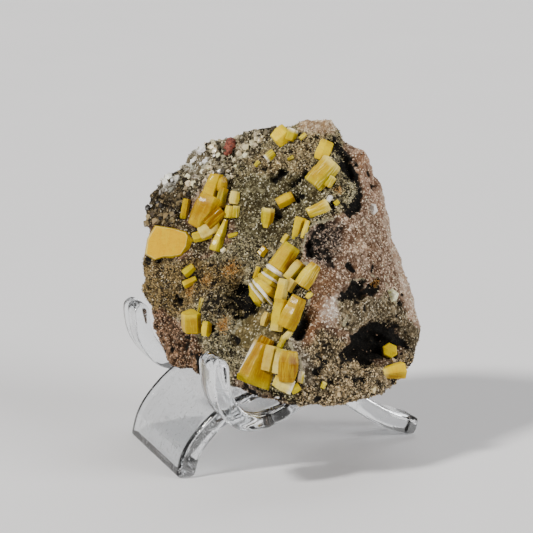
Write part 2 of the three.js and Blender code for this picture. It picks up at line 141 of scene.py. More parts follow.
def makeMesh(name, points, faces, smooth=True):
    mesh = bpy.data.meshes.new(name)
    mesh.from_pydata((np.asarray(points) * 0.001).tolist(), [], [list(face) for face in faces])
    mesh.polygons.foreach_set("use_smooth", [smooth] * len(mesh.polygons))
    mesh.update()
    piece = bpy.data.objects.new(name, mesh)
    bpy.context.scene.collection.objects.link(piece)
    return piece


def paint(piece, name, values):  # numbers or colours on the points of a mesh
    values = np.asarray(values, dtype=np.float32)
    if values.ndim == 1:
        layer = piece.data.attributes.new(name, "FLOAT", "POINT")
        layer.data.foreach_set("value", values)
        return
    if values.shape[1] == 3 and name.endswith("Place"):
        layer = piece.data.attributes.new(name, "FLOAT_VECTOR", "POINT")
        layer.data.foreach_set("vector", values.ravel())
        return
    opaque = np.ones((len(values), 4), dtype=np.float32)
    opaque[:, :3] = values
    layer = piece.data.attributes.new(name, "FLOAT_COLOR", "POINT")
    layer.data.foreach_set("color", opaque.ravel())


def takeArrays(piece):  # the points and faces of a piece with its modifiers, and the piece is gone
    seen = piece.evaluated_get(bpy.context.evaluated_depsgraph_get())
    mesh = seen.to_mesh()
    points = np.zeros(len(mesh.vertices) * 3)
    mesh.vertices.foreach_get("co", points)
    faces = [tuple(face.vertices) for face in mesh.polygons]
    seen.to_mesh_clear()
    bpy.data.objects.remove(piece)
    return points.reshape(-1, 3), faces


def remesh(points, faces, voxel, cutter=None):  # one closed even skin, in millimetres
    piece = makeMesh("raw", np.asarray(points) * 1000, faces)
    if cutter is not None:
        cut = piece.modifiers.new("seat", "BOOLEAN")
        cut.operation = "DIFFERENCE"
        cut.solver = "EXACT"
        cut.object = cutter
    even = piece.modifiers.new("even", "REMESH")
    even.mode = "VOXEL"
    even.voxel_size = voxel
    bpy.context.view_layer.update()
    return takeArrays(piece)


def pointNormals(points, faces):
    quads = np.array([face if len(face) == 4 else (*face, face[2]) for face in faces])
    corners = points[quads]
    normals = np.cross(corners[:, 2] - corners[:, 0], corners[:, 3] - corners[:, 1])
    total = np.zeros_like(points)
    for corner in range(4):
        np.add.at(total, quads[:, corner], normals)
    return unit(total)


def relax(values, faces, rounds):  # averages points, or numbers on points, with their neighbours
    quads = np.array(faces)
    ends = np.concatenate([quads, np.roll(quads, 1, axis=1)]).ravel()
    others = np.concatenate([np.roll(quads, 1, axis=1), quads]).ravel()
    count = np.bincount(ends, minlength=len(values))
    for _ in range(rounds):
        total = np.zeros_like(values)
        np.add.at(total, ends, values[others])
        values = total / (count[:, None] if values.ndim == 2 else count)
    return values


def finishPiece(piece, material, slotName, *replaced):
    piece.data.materials.append(material)
    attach(piece, "root")
    if replaced:
        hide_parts(*replaced)
    return piece


# Rock outline, the same as the solid one: [right, down, out]
rockShape = {
    "rim": [
        (143, 217, -9), (147, 202, -9), (161, 187, -9), (189, 161, -8), (203, 143, -8),
        (228, 138, -6), (248, 131, -4), (272, 127, -1), (309, 121, 2), (326, 117, 4),
        (334, 118, 5), (365, 150, 3), (371, 164, 1), (381, 180, 0), (402, 263, -3),
        (413, 294, -3), (421, 328, -2), (418, 341, -1), (411, 367, 2), (405, 381, 5),
        (389, 389, 12), (374, 400, 16.5), (350, 403, 20.5), (304, 409, 24), (280, 409, 24.5),
        (259, 401, 20), (241, 397, 16.5), (202, 377, 5), (174, 367, -3), (163, 351, -6),
        (153, 320, -7), (143, 291, -9),
    ],
    "ridge": [
        (335, 141, 8), (356, 187, 9.5), (348, 213, 11.5), (318, 230, 14), (308, 250, 15),
        (312, 275, 16), (310, 291, 17), (306, 317, 18.5), (298, 340, 20), (301, 365, 21.5),
    ],
    "face": [
        (200, 200, -1.5), (250, 200, 3.5), (300, 190, 7.5), (200, 250, 1), (250, 250, 7.5),
        (195, 300, 0.5), (250, 300, 9.5), (230, 350, 8.5), (365, 230, 8.5), (372, 280, 8.5),
        (360, 330, 13), (392, 330, 7), (360, 370, 15.5), (375, 200, 4.5),
    ],
    "back": [
        (160, 215, -18), (156, 280, -18), (170, 346, -14), (190, 348, -16), (215, 163, -17),
        (270, 150, -14), (326, 138, -7), (360, 172, -9), (380, 235, -13), (402, 318, -13),
        (397, 350, -9), (250, 220, -22), (250, 300, -22), (330, 220, -19), (340, 310, -18),
        (200, 270, -22), (350, 358, -10), (290, 355, -13), (230, 352, -14),
    ],
    "middle": (275, 262, -3),
    "coarse": 0.6,  # voxel sizes in mm
    "seated": 0.42,
    "fine": 0.345,
    "seatGap": 0.12,  # how much wider than the stand its seat is cut
    "standGap": 0.07,  # how far the finished skin keeps from the stand
}

# Long gentle lumps: x, y, z wave numbers, phase, height
lumps = [
    (0.37, 0.11, 0.05, 0.4, 0.32),
    (-0.12, 0.41, 0.22, 1.9, 0.3),
    (0.2, -0.25, 0.52, 3.1, 0.26),
    (0.61, 0.35, -0.4, 5.2, 0.18),
    (-0.55, 0.62, 0.48, 0.9, 0.14),
    (0.15, 0.7, -0.85, 2.6, 0.12),
]

# Hollows along runs of display points: radius and depth in mm, and how much painted shade darkens them
# (dark).
# A negative depth is a mound. A straight one goes directly away from the display side.
hollows = [
    {"run": [(233, 289), (239, 300), (241, 313)], "radius": 1.9, "depth": 3.4, "dark": 1},  # round vug
    {"run": [(251, 298), (251, 307)], "radius": 1.7, "depth": 3, "dark": 0.85},
    {"run": [(213, 303)], "radius": 3, "depth": -0.9, "dark": 0},  # mound beside it
    {
        "run": [(337, 143), (343, 151), (346, 163), (351, 175)],
        "radius": 1.6, "depth": 3, "dark": 1, "straight": True,
    },
    {"run": [(353, 178), (358, 189)], "radius": 1.2, "depth": 2, "dark": 1, "straight": True},
    {"run": [(359, 196), (354, 206), (347, 215)], "radius": 1.2, "depth": 2, "dark": 1, "straight": True},
    {"run": [(306, 321), (298, 335)], "radius": 1.25, "depth": 1.8, "dark": 1},
    {"run": [(343, 296), (351, 293)], "radius": 1.4, "depth": 1.5, "dark": 0.8},  # upper vug
    {"run": [(358, 294), (366, 289)], "radius": 1.9, "depth": 2.4, "dark": 0.9},
    {"run": [(373, 291), (378, 283)], "radius": 1.5, "depth": 1.9, "dark": 0.9},
    {"run": [(356, 283)], "radius": 0.9, "depth": 1, "dark": 0.8},
    {"run": [(369, 349), (379, 341), (393, 338)], "radius": 4, "depth": 6, "dark": 1},  # large vug
    {"run": [(349, 355), (358, 351)], "radius": 1.7, "depth": 2.4, "dark": 1},
    {"run": [(402, 333), (408, 340)], "radius": 2, "depth": 2.2, "dark": 1},
    {"run": [(196, 358), (201, 371)], "radius": 1.6, "depth": 2, "dark": 0.8},
    {"run": [(148, 259)], "radius": 1.5, "depth": 0.8, "dark": 0.4},
    {"run": [(346, 136), (354, 141)], "radius": 2, "depth": 1.5, "dark": 0},
    {"run": [(306, 124), (318, 122), (327, 121)], "radius": 2, "depth": -0.8, "dark": 0},
    {"run": [(177, 173), (184, 167)], "radius": 2.2, "depth": 1.4, "dark": 0},
    {"run": [(170, 182)], "radius": 1.6, "depth": -0.7, "dark": 0},
    {"run": [(194, 159), (201, 149)], "radius": 1.6, "depth": -0.6, "dark": 0},
    {"run": [(150, 213)], "radius": 1.2, "depth": -0.7, "dark": 0},
    {"run": [(332, 122)], "radius": 1.5, "depth": -1, "dark": 0},  # corners of the outline
    {"run": [(407, 371)], "radius": 2.8, "depth": 0.9, "dark": 0},
    {"run": [(362, 152)], "radius": 1.4, "depth": -0.9, "dark": 0},
    {"run": [(378, 184)], "radius": 1.4, "depth": -0.8, "dark": 0},
    {"run": [(417, 329)], "radius": 1.6, "depth": -0.4, "dark": 0},
]

# Smaller ones, made after the first even skin
smallHollows = [
    {"run": [(275, 180), (283, 173)], "radius": 1.05, "depth": 1.6, "dark": 1},
    {"run": [(292, 184), (304, 174)], "radius": 1.05, "depth": 1.8, "dark": 1},
    {"run": [(297, 199), (300, 197)], "radius": 0.95, "depth": 1.4, "dark": 1},
    {"run": [(276, 211), (277, 215)], "radius": 0.95, "depth": 1.4, "dark": 1},
    {"run": [(332, 203), (333, 209)], "radius": 0.6, "depth": 1.2, "dark": 1},
    {"run": [(177, 299), (183, 301)], "radius": 1.15, "depth": 2.2, "dark": 1},
    {"run": [(159, 262), (162, 258)], "radius": 0.9, "depth": 1.2, "dark": 1},
    {"run": [(313, 229), (321, 227)], "radius": 0.9, "depth": 1.6, "dark": 1},
    {"run": [(309, 245), (311, 254)], "radius": 0.9, "depth": 1.6, "dark": 1},
    {"run": [(318, 243)], "radius": 0.9, "depth": 1, "dark": 0.9},
    {"run": [(325, 236)], "radius": 0.6, "depth": 0.8, "dark": 0.9},
    {"run": [(328, 251)], "radius": 0.7, "depth": 0.8, "dark": 0.9},
    {"run": [(320, 259)], "radius": 0.7, "depth": 0.8, "dark": 0.9},
    {"run": [(353, 159)], "radius": 0.8, "depth": 1, "dark": 0.9},
    {"run": [(284, 380), (292, 374)], "radius": 0.9, "depth": 1, "dark": 0.9},
    {"run": [(385, 274), (381, 268)], "radius": 0.7, "depth": 0.8, "dark": 0.8},
    {"run": [(342, 368)], "radius": 1, "depth": 1, "dark": 0.8},
    {"run": [(330, 382)], "radius": 0.9, "depth": 0.9, "dark": 0.8},
    {"run": [(214, 326), (211, 330)], "radius": 0.8, "depth": 1.1, "dark": 1},
    {"run": [(231, 336), (237, 341)], "radius": 0.65, "depth": 1, "dark": 1},
    {"run": [(246, 290), (250, 286)], "radius": 0.6, "depth": 0.7, "dark": 0.9},
    {"run": [(204, 243), (196, 246)], "radius": 1.2, "depth": -0.4, "dark": 0},
    {"run": [(166, 240)], "radius": 3, "depth": 0.4, "dark": 0.4},
    {"run": [(357, 163)], "radius": 0.9, "depth": 1, "dark": 1},
    {"run": [(368, 173)], "radius": 0.8, "depth": 0.8, "dark": 1},
    {"run": [(354, 271), (348, 265)], "radius": 0.7, "depth": 0.7, "dark": 0.9},
    {"run": [(318, 208), (309, 219)], "radius": 0.7, "depth": 0.6, "dark": 0.8},
    {"run": [(400, 303)], "radius": 0.8, "depth": 1, "dark": 1},
    {"run": [(376, 338), (350, 337)], "radius": 0.7, "depth": 0.7, "dark": 0.9},
    {"run": [(345, 376), (356, 381)], "radius": 0.8, "depth": 0.8, "dark": 0.9},
    {"run": [(316, 372), (326, 362)], "radius": 0.8, "depth": 0.7, "dark": 0.9},
    {"run": [(391, 380), (399, 377)], "radius": 0.9, "depth": 0.8, "dark": 0.9},
    {"run": [(246, 390), (254, 396)], "radius": 0.8, "depth": 1, "dark": 0.9},
    {"run": [(272, 392), (280, 396)], "radius": 0.7, "depth": 0.8, "dark": 0.9},
]

# Thin pale lips that run along ledges and the edges of hollows
lips = [
    [(333, 141), (339, 150), (341, 162), (347, 176), (352, 186)],
    [(354, 193), (347, 204), (346, 213)],
    [(332, 219), (318, 222), (310, 227), (305, 239), (302, 250)],
    [(302, 264), (318, 266), (313, 282), (311, 291), (309, 303), (306, 316)],
    [(300, 322), (292, 335), (291, 346), (299, 358), (303, 382)],
    [(338, 298), (341, 306), (347, 314), (344, 325)],
    [(346, 282), (357, 281), (372, 276), (384, 281), (396, 300), (406, 314)],
    [(258, 306), (247, 313), (239, 323), (234, 333)],
]
lipShape = {
    "radius": 0.5,
    "height": 0.35,
    "tone": (0.64, 0.62, 0.51),
}


def nearRun(points, run):  # distance of each point from a broken line
    nearest = np.linalg.norm(points - run[0], axis=1)
    for start, end in zip(run, run[1:]):
        along = end - start
        part = np.clip((points - start) @ along / (along @ along), 0, 1)
        nearest = np.minimum(nearest, np.linalg.norm(points - start - part[:, None] * along, axis=1))
    return nearest


def castAll(tree, places):  # where rays from the display view meet a surface
    hits = []
    inward = np.zeros(3)
    for across, down in places:
        way = unit(spot(across, down, 0) - eye)
        hit, normal, _, _ = tree.ray_cast(Vector(eye), Vector(way))
        hits.append(np.array(hit))
        inward -= np.array(normal)
    return hits, unit(inward)


dugHollows = []  # where each hollow ended up, for the painted shade inside it


def closeTo(points, run, reach):  # numbers of the points in a box round a run
    low = np.min(run, axis=0) - reach
    high = np.max(run, axis=0) + reach
    return np.nonzero(((points > low) & (points < high)).all(axis=1))[0]


def raggedEdge(points, radius):
    return (softNoise(points, 1.7, 61) * 0.4 + softNoise(points, 0.7, 62) * 0.28) * min(radius, 1.8)


def findRuns(tree, runs):  # where the runs of a table lie on a surface
    found = []
    for hollow in runs:
        hits, inward = castAll(tree, hollow["run"])
        if hollow.get("straight"):
            inward = -toward
        found.append({**hollow, "hits": hits, "inward": inward})
    return found


def dig(points, found):  # moves points into each hollow
    moved = points.copy()
    for hollow in found:
        hits = hollow["hits"]
        picked = closeTo(points, hits, hollow["radius"] + 0.8)
        places = points[picked]
        near = (nearRun(places, hits) + raggedEdge(places, hollow["radius"])) / hollow["radius"]
        fall = np.clip(1 - near * near, 0, 1) ** 0.8
        moved[picked] += hollow["inward"] * (hollow["depth"] * fall)[:, None]
    dugHollows.extend(found)
    return moved


def lipShare(points, tree):  # 1 in the middle of the pale lips, 0 away from them
    share = np.zeros(len(points))
    for run in lips:
        hits, _ = castAll(tree, run)
        picked = closeTo(points, hits, lipShape["radius"] + 0.5)
        places = points[picked]
        near = nearRun(places, hits) + softNoise(places, 1.2, 63) * 0.4
        share[picked] = np.maximum(share[picked], np.clip(1 - near / lipShape["radius"], 0, 1))
    return share


def hollowDepth(points):  # how far into the painted shade of the hollows: 0.5 at their edges, 1 inside, 0 outside
    depth = np.zeros(len(points))
    for hollow in dugHollows:
        if hollow["dark"] == 0:
            continue
        picked = closeTo(points, hollow["hits"], hollow["radius"] + hollow["depth"] + 1)
        places = points[picked]
        near = np.full(len(places), 9.0)
        for part in (0.2, 0.45, 0.7, 0.95):
            shifted = places - hollow["inward"] * hollow["depth"] * part
            near = np.minimum(near, nearRun(shifted, hollow["hits"]))
        inside = hollow["radius"] * 0.88 - near - raggedEdge(places, hollow["radius"])
        value = np.clip(0.5 + inside / 1.2, 0, 1) - (1 - hollow["dark"]) * 0.35
        depth[picked] = np.maximum(depth[picked], value)
    return depth


def grownStand(clearance):  # the stand's solid, a little larger, to cut its seat in the rock
    node = frame["nodes"]["display_stand"]
    cutter = node.copy()
    cutter.data = node.data.copy()
    cutter.name = "seatCutter"
    bpy.context.scene.collection.objects.link(cutter)
    weld = bmesh.new()
    weld.from_mesh(cutter.data)
    bmesh.ops.remove_doubles(weld, verts=weld.verts, dist=1e-6)
    bmesh.ops.recalc_face_normals(weld, faces=weld.faces)
    for vertex in weld.verts:
        vertex.co = (vertex.co + vertex.normal * clearance * 0.001) * 1000
    weld.to_mesh(cutter.data)
    weld.free()
    cutter.parent = None
    return cutter


def makeRock():
    corners = [spot(*place) for part in ("rim", "ridge", "face", "back") for place in rockShape[part]]
    shell = bmesh.new()
    for corner in corners:
        shell.verts.new(corner)
    hull = bmesh.ops.convex_hull(shell, input=shell.verts)
    spare = set(hull["geom_interior"]) | set(hull["geom_unused"])
    loose = [item for item in spare if isinstance(item, bmesh.types.BMVert)]
    bmesh.ops.delete(shell, geom=loose, context="VERTS")
    bmesh.ops.recalc_face_normals(shell, faces=shell.faces)
    shell.verts.index_update()
    hullPoints = np.array([vertex.co[:] for vertex in shell.verts])
    hullFaces = [[vertex.index for vertex in face.verts] for face in shell.faces]
    tree = BVHTree.FromBMesh(shell)
    shell.free()
    points, faces = remesh(hullPoints, hullFaces, rockShape["coarse"])
    outward = unit(points - spot(*rockShape["middle"]))
    height = sum(
        (np.sin(points @ np.array(wave[:3]) + wave[3]) - 0.3) * wave[4] for wave in lumps
    )
    moved = dig(points, findRuns(tree, hollows)) + outward * height[:, None]
    cutter = grownStand(rockShape["seatGap"])
    points, faces = remesh(moved, faces, rockShape["seated"], cutter)
    bpy.data.objects.remove(cutter)
    return points, faces


rockPoints, rockFaces = makeRock()
print("rock skin:", len(rockPoints), "points")


def colour(red, green, blue):  # screen values to light values
    parts = (red, green, blue)
    return np.array([part / 12.92 if part < 0.04 else ((part + 0.055) / 1.055) ** 2.4 for part in parts])


# Kinds of surface on the rock. Each has an outline in the display view, a light grain colour and a
# dark colour (its dark ground, and painted shade in the gaps between grains), and how high each size of
# relief stands there in mm: grains of 0.6, 0.9 and 1.5 mm, then soft lumps of 0.5, 1.1, 2.6 and 6 mm.
rockGrounds = {
    "brokenBack": {
        "light": colour(0.84, 0.72, 0.6),
        "dark": colour(0.3, 0.21, 0.15),
        "relief": (0.06, 0.1, 0.12, 0.1, 0.22, 0.35, 0.5),
    },
    "druse": {
        "outline": [
            (225, 175), (255, 150), (276, 120), (312, 110), (345, 130), (341, 150), (350, 170), (360, 188),
            (353, 207), (330, 222), (311, 227), (304, 240), (302, 262), (318, 266), (312, 290), (306, 315),
            (292, 334), (299, 360), (303, 412), (240, 410), (214, 388), (202, 345), (186, 322), (150, 312),
            (130, 285), (136, 255), (190, 262), (210, 256), (232, 240), (238, 210),
        ],
        "soft": 3,
        "light": colour(0.9, 0.85, 0.67),
        "dark": colour(0.1, 0.075, 0.025),
        "relief": (0.14, 0.1, 0.05, 0.1, 0.16, 0.24, 0.25),
    },
    "smoothFloor": {
        "outline": [
            (232, 182), (250, 174), (275, 172), (300, 176), (322, 190), (318, 214), (300, 232), (285, 246),
            (262, 240), (240, 236), (228, 214),
        ],
        "soft": 6,
        "light": colour(0.75, 0.72, 0.56),
        "dark": colour(0.2, 0.17, 0.08),
        "relief": (0.08, 0.06, 0.02, 0.08, 0.12, 0.25, 0.3),
    },
    "oliveFloor": {
        "outline": [
            (258, 306), (270, 314), (280, 330), (298, 306), (302, 322), (290, 345), (262, 352), (238, 348),
            (233, 334), (241, 321), (250, 312),
        ],
        "soft": 4,
        "light": colour(0.76, 0.7, 0.5),
        "dark": colour(0.33, 0.29, 0.17),
        "relief": (0.06, 0.05, 0.02, 0.06, 0.1, 0.2, 0.3),
    },
    "darkMound": {
        "outline": [
            (203, 302), (208, 290), (222, 284), (234, 284), (256, 286), (260, 300), (250, 312), (236, 322),
            (222, 322), (207, 318),
        ],
        "soft": 4,
        "light": colour(0.8, 0.73, 0.55),
        "dark": colour(0.085, 0.07, 0.035),
        "relief": (0.18, 0.14, 0.05, 0.12, 0.16, 0.25, 0.2),
    },
    "tanCrust": {
        "outline": [
            (132, 262), (150, 256), (172, 262), (186, 258), (196, 250), (206, 262), (220, 262), (236, 256),
            (246, 272), (238, 290), (222, 286), (210, 292), (196, 300), (186, 312), (172, 320), (148, 316),
            (128, 290),
        ],
        "soft": 5,
        "light": colour(0.78, 0.67, 0.44),
        "dark": colour(0.11, 0.075, 0.022),
        "relief": (0.2, 0.24, 0.12, 0.14, 0.18, 0.25, 0.25),
    },
    "upperCrust": {
        "outline": [
            (246, 158), (262, 150), (290, 150), (300, 138), (318, 130), (330, 134), (322, 142), (312, 160),
            (306, 176), (286, 170), (268, 176), (252, 172),
        ],
        "soft": 5,
        "light": colour(0.95, 0.86, 0.66),
        "dark": colour(0.15, 0.11, 0.04),
        "relief": (0.16, 0.18, 0.08, 0.12, 0.16, 0.25, 0.25),
    },
    "greyGrains": {
        "outline": [
            (150, 195), (170, 165), (198, 135), (228, 125), (262, 118), (276, 128), (258, 150), (243, 160),
            (230, 182), (228, 196), (214, 176), (196, 196), (184, 200), (172, 196),
        ],
        "soft": 4,
        "light": colour(0.9, 0.85, 0.71),
        "dark": colour(0.13, 0.1, 0.035),
        "relief": (0.06, 0.16, 0.42, 0.05, 0.1, 0.2, 0.2),
    },
    "whiteQuartz": {
        "outline": [
            (186, 170), (188, 158), (196, 145), (206, 144), (209, 158), (203, 172), (195, 180),
        ],
        "soft": 2.5,
        "light": colour(1, 0.99, 0.94),
        "dark": colour(0.38, 0.34, 0.25),
        "relief": (0.04, 0.1, 0.3, 0.05, 0.1, 0.2, 0.2),
    },
    "brownTip": {
        "outline": [(130, 225), (138, 195), (158, 184), (180, 176), (190, 190), (182, 226), (165, 226)],
        "soft": 4,
        "light": colour(0.58, 0.51, 0.37),
        "dark": colour(0.075, 0.05, 0.012),
        "relief": (0.08, 0.3, 0.5, 0.05, 0.1, 0.2, 0.2),
    },
    "leftQuartz": {
        "outline": [(158, 188), (164, 178), (174, 174), (178, 182), (172, 191), (163, 193)],
        "soft": 2,
        "light": colour(0.98, 0.98, 0.95),
        "dark": colour(0.24, 0.21, 0.15),
        "relief": (0.04, 0.1, 0.3, 0.05, 0.1, 0.2, 0.2),
    },
    "greyLedge": {
        "outline": [(174, 222), (196, 226), (208, 238), (212, 252), (192, 256), (186, 240)],
        "soft": 3,
        "light": colour(0.74, 0.68, 0.53),
        "dark": colour(0.16, 0.12, 0.04),
        "relief": (0.05, 0.1, 0.1, 0.05, 0.05, 0.1, 0.1),
    },
    "topRim": {
        "outline": [(296, 112), (336, 108), (340, 128), (333, 134), (312, 134), (300, 130)],
        "soft": 3,
        "light": colour(0.99, 0.91, 0.79),
        "dark": colour(0.55, 0.45, 0.34),
        "relief": (0.06, 0.05, 0, 0.08, 0.1, 0.1, 0.2),
    },
    "pinkBreak": {
        "outline": [
            (345, 138), (372, 145), (395, 185), (412, 255), (432, 330), (400, 300), (345, 285), (332, 300),
            (312, 330), (306, 318), (312, 290), (318, 266), (306, 262), (304, 240), (312, 228), (332, 224),
            (354, 209), (362, 190), (352, 168),
        ],
        "soft": 2,
        "light": colour(0.99, 0.87, 0.76),
        "dark": colour(0.36, 0.26, 0.19),
        "relief": (0.16, 0.22, 0.14, 0.18, 0.24, 0.32, 0.35),
    },
    "pinkRim": {
        "outline": [
            (349, 146), (358, 142), (372, 147), (376, 172), (386, 182), (393, 226), (384, 236), (374, 206),
            (364, 192), (357, 170),
        ],
        "soft": 2.5,
        "light": colour(0.98, 0.85, 0.74),
        "dark": colour(0.46, 0.34, 0.26),
        "relief": (0.16, 0.2, 0.14, 0.14, 0.18, 0.25, 0.3),
    },
    "pittedShade": {
        "outline": [(306, 232), (325, 224), (344, 222), (342, 246), (332, 268), (316, 262), (304, 256)],
        "soft": 4,
        "light": colour(0.74, 0.64, 0.56),
        "dark": colour(0.05, 0.03, 0.02),
        "relief": (0.26, 0.26, 0.1, 0.2, 0.2, 0.25, 0.2),
    },
    "redBrown": {
        "outline": [
            (318, 268), (334, 272), (336, 296), (322, 322),
            (312, 350), (306, 340), (309, 318), (314, 292),
        ],
        "soft": 4,
        "light": colour(0.86, 0.73, 0.6),
        "dark": colour(0.42, 0.29, 0.19),
        "relief": (0.16, 0.2, 0.1, 0.14, 0.16, 0.25, 0.2),
    },
    "whitePatch": {
        "outline": [(324, 302), (336, 294), (344, 304), (340, 320), (328, 326), (321, 316)],
        "soft": 5,
        "light": colour(0.99, 0.97, 0.94),
        "dark": colour(0.6, 0.5, 0.42),
        "relief": (0.08, 0.1, 0.05, 0.08, 0.1, 0.1, 0.1),
    },
    "greyGreenFloor": {
        "outline": [
            (334, 300), (345, 292), (376, 296), (386, 292), (402, 306), (420, 326), (426, 350), (412, 372),
            (404, 350), (396, 330), (372, 322), (352, 334), (340, 326),
        ],
        "soft": 3,
        "light": colour(0.80, 0.73, 0.59),
        "dark": colour(0.24, 0.2, 0.13),
        "relief": (0.12, 0.12, 0.05, 0.1, 0.14, 0.22, 0.25),
    },
    "bottomGrains": {
        "outline": [
            (303, 350), (322, 328), (345, 340), (362, 362), (388, 366), (410, 350), (430, 370), (412, 398),
            (378, 420), (300, 425), (296, 395),
        ],
        "soft": 4,
        "light": colour(0.88, 0.78, 0.6),
        "dark": colour(0.13, 0.1, 0.045),
        "relief": (0.18, 0.24, 0.1, 0.1, 0.14, 0.2, 0.25),
    },
    "greySheet": {
        "outline": [
            (284, 332), (296, 330), (303, 345), (313, 362),
            (316, 384), (302, 388), (300, 362), (290, 346),
        ],
        "soft": 2.5,
        "light": colour(0.82, 0.77, 0.68),
        "dark": colour(0.24, 0.2, 0.14),
        "relief": (0.04, 0.05, 0, 0.04, 0.06, 0.1, 0.2),
    },
    "brownLobe": {
        "outline": [
            (146, 312), (160, 306), (174, 318), (192, 336),
            (204, 354), (204, 378), (174, 380), (152, 358),
        ],
        "soft": 3,
        "light": colour(0.78, 0.62, 0.48),
        "dark": colour(0.18, 0.11, 0.05),
        "relief": (0.3, 0.3, 0.05, 0.14, 0.16, 0.25, 0.2),
    },
    # the broken side's colours made paler on the rim facet: painted light where it faces the fill lamp
    "rimFacet": {
        "outline": [
            (380, 186), (386, 186), (392, 226), (405, 262), (417, 292), (425, 330), (415, 326), (402, 300),
            (399, 280), (390, 250), (384, 222),
        ],
        "soft": 2,
        "light": colour(0.99, 0.91, 0.83),
        "dark": colour(0.6, 0.5, 0.42),
        "relief": (0.04, 0.05, 0.05, 0.06, 0.08, 0.1, 0.2),
    },
    "underBreak": {
        "outline": [(232, 372), (246, 372), (262, 392), (296, 402), (300, 425), (230, 415)],
        "soft": 3,
        "light": colour(0.74, 0.63, 0.52),
        "dark": colour(0.12, 0.07, 0.035),
        "relief": (0.1, 0.12, 0.05, 0.12, 0.16, 0.2, 0.2),
    },
}


# Small pits: how many in a square millimetre of each ground, radius in mm, depth as a share of it, and how
# much painted shade darkens them
pits = {
    "density": {
        "pittedShade": 0.5, "brownLobe": 0.25, "bottomGrains": 0.14, "greyGreenFloor": 0.12, "druse": 0.06,
        "tanCrust": 0.12, "upperCrust": 0.12, "darkMound": 0.2, "pinkBreak": 0.07, "pinkRim": 0.14,
        "redBrown": 0.05, "brownTip": 0.2, "greyGrains": 0.1, "underBreak": 0.15, "brokenBack": 0.03,
    },
    "radius": (0.3, 0.65),
    "depth": (0.7, 1.3),
    "dark": (0.2, 0.9),
}


def insideOutline(across, down, outline, soft):  # 1 inside, 0 outside, soft at the edge
    inside = np.zeros(len(across), dtype=bool)
    nearest = np.full(len(across), 1e9)
    for (x0, y0), (x1, y1) in zip(outline, outline[1:] + outline[:1]):
        crosses = (y0 > down) != (y1 > down)
        slope = (x1 - x0) / (y1 - y0) if y1 != y0 else 0
        inside ^= crosses & (across < x0 + (down - y0) * slope)
        part = ((across - x0) * (x1 - x0) + (down - y0) * (y1 - y0)) / ((x1 - x0) ** 2 + (y1 - y0) ** 2)
        part = np.clip(part, 0, 1)
        distance = np.hypot(across - x0 - part * (x1 - x0), down - y0 - part * (y1 - y0))
        nearest = np.minimum(nearest, distance)
    signed = np.where(inside, nearest, -nearest)
    return ease(signed, -soft, soft)


def findGrounds(points, normals):  # how much of each kind of surface there is at each point
    across, down, _ = toDisplay(points)
    across = across + softNoise(points, 1.6, 11) * 2.5 + softNoise(points, 0.6, 12) * 1.2
    down = down + softNoise(points, 1.6, 13) * 2.5 + softNoise(points, 0.6, 14) * 1.2
    facing = ease(normals @ toward + softNoise(points, 2.5, 15) * 0.12, -0.12, 0.12)
    shares = {"brokenBack": np.ones(len(points))}
    for name, ground in rockGrounds.items():
        if name == "brokenBack":
            continue
        mask = insideOutline(across, down, ground["outline"], ground["soft"]) * facing
        for other in shares:
            shares[other] = shares[other] * (1 - mask)
        shares[name] = mask
    return shares


def reliefHeight(points, shares):
    layers = []
    gaps = np.zeros(len(points))
    ownTone = np.zeros(len(points))
    weights = np.array([rockGrounds[name]["relief"] for name in shares]).T
    shareTable = np.array([shares[name] for name in shares])
    strengths = weights @ shareTable
    for index, size in enumerate((0.6, 0.9, 1.5)):
        first, second, own = grainNoise(points, size, 20 + index)
        layers.append((1 - 1.6 * first * first) * (0.55 + 0.9 * own))
        share = strengths[index] / (strengths[:3].sum(axis=0) + 1e-6)
        # near the borders between grains, for painted shade in the gaps
        gaps += share * (1 - ease(second - first, 0.03, 0.3))
        ownTone += share * own
    for index, size in enumerate((0.5, 1.1, 2.6, 6)):
        layers.append(softNoise(points, size, 30 + index))
    height = sum(strength * layer for strength, layer in zip(strengths, layers))
    return height, gaps, ownTone


def scatterPits(points, normals, shares):
    rng = np.random.default_rng(13)
    wanted = sum(shares[name] * density for name, density in pits["density"].items())
    expected = wanted * rockShape["fine"] ** 2
    chosen = rng.choice(len(points), size=int(expected.sum()), p=expected / expected.sum())
    found = []
    for index in chosen:
        radius = rng.uniform(*pits["radius"])
        aside = unit(np.cross(normals[index], rng.normal(0, 1, 3)))
        hits = [points[index], points[index] + aside * radius * rng.uniform(0.6, 2)]
        pit = {"hits": hits, "inward": -normals[index], "radius": radius}
        pit["depth"] = radius * rng.uniform(*pits["depth"])
        pit["dark"] = rng.uniform(*pits["dark"])
        found.append(pit)
    return found


def roughenRock(points, faces):
    smoothed = relax(points, faces, 6)
    normals = relax(pointNormals(smoothed, faces), faces, 3)
    normals = unit(normals)
    shares = findGrounds(points, normals)
    height, _, _ = reliefHeight(points, shares)
    tree = BVHTree.FromPolygons(points.tolist(), faces)
    height += ease(lipShare(points, tree), 0.1, 0.6) * lipShape["height"]
    found = findRuns(tree, smallHollows) + scatterPits(points, normals, shares)
    moved = dig(points + normals * height[:, None] * 0.8, found)
    return remesh(moved, faces, rockShape["fine"])


rockPoints, rockFaces = roughenRock(rockPoints, rockFaces)
print("rock relief:", len(rockPoints), "points")


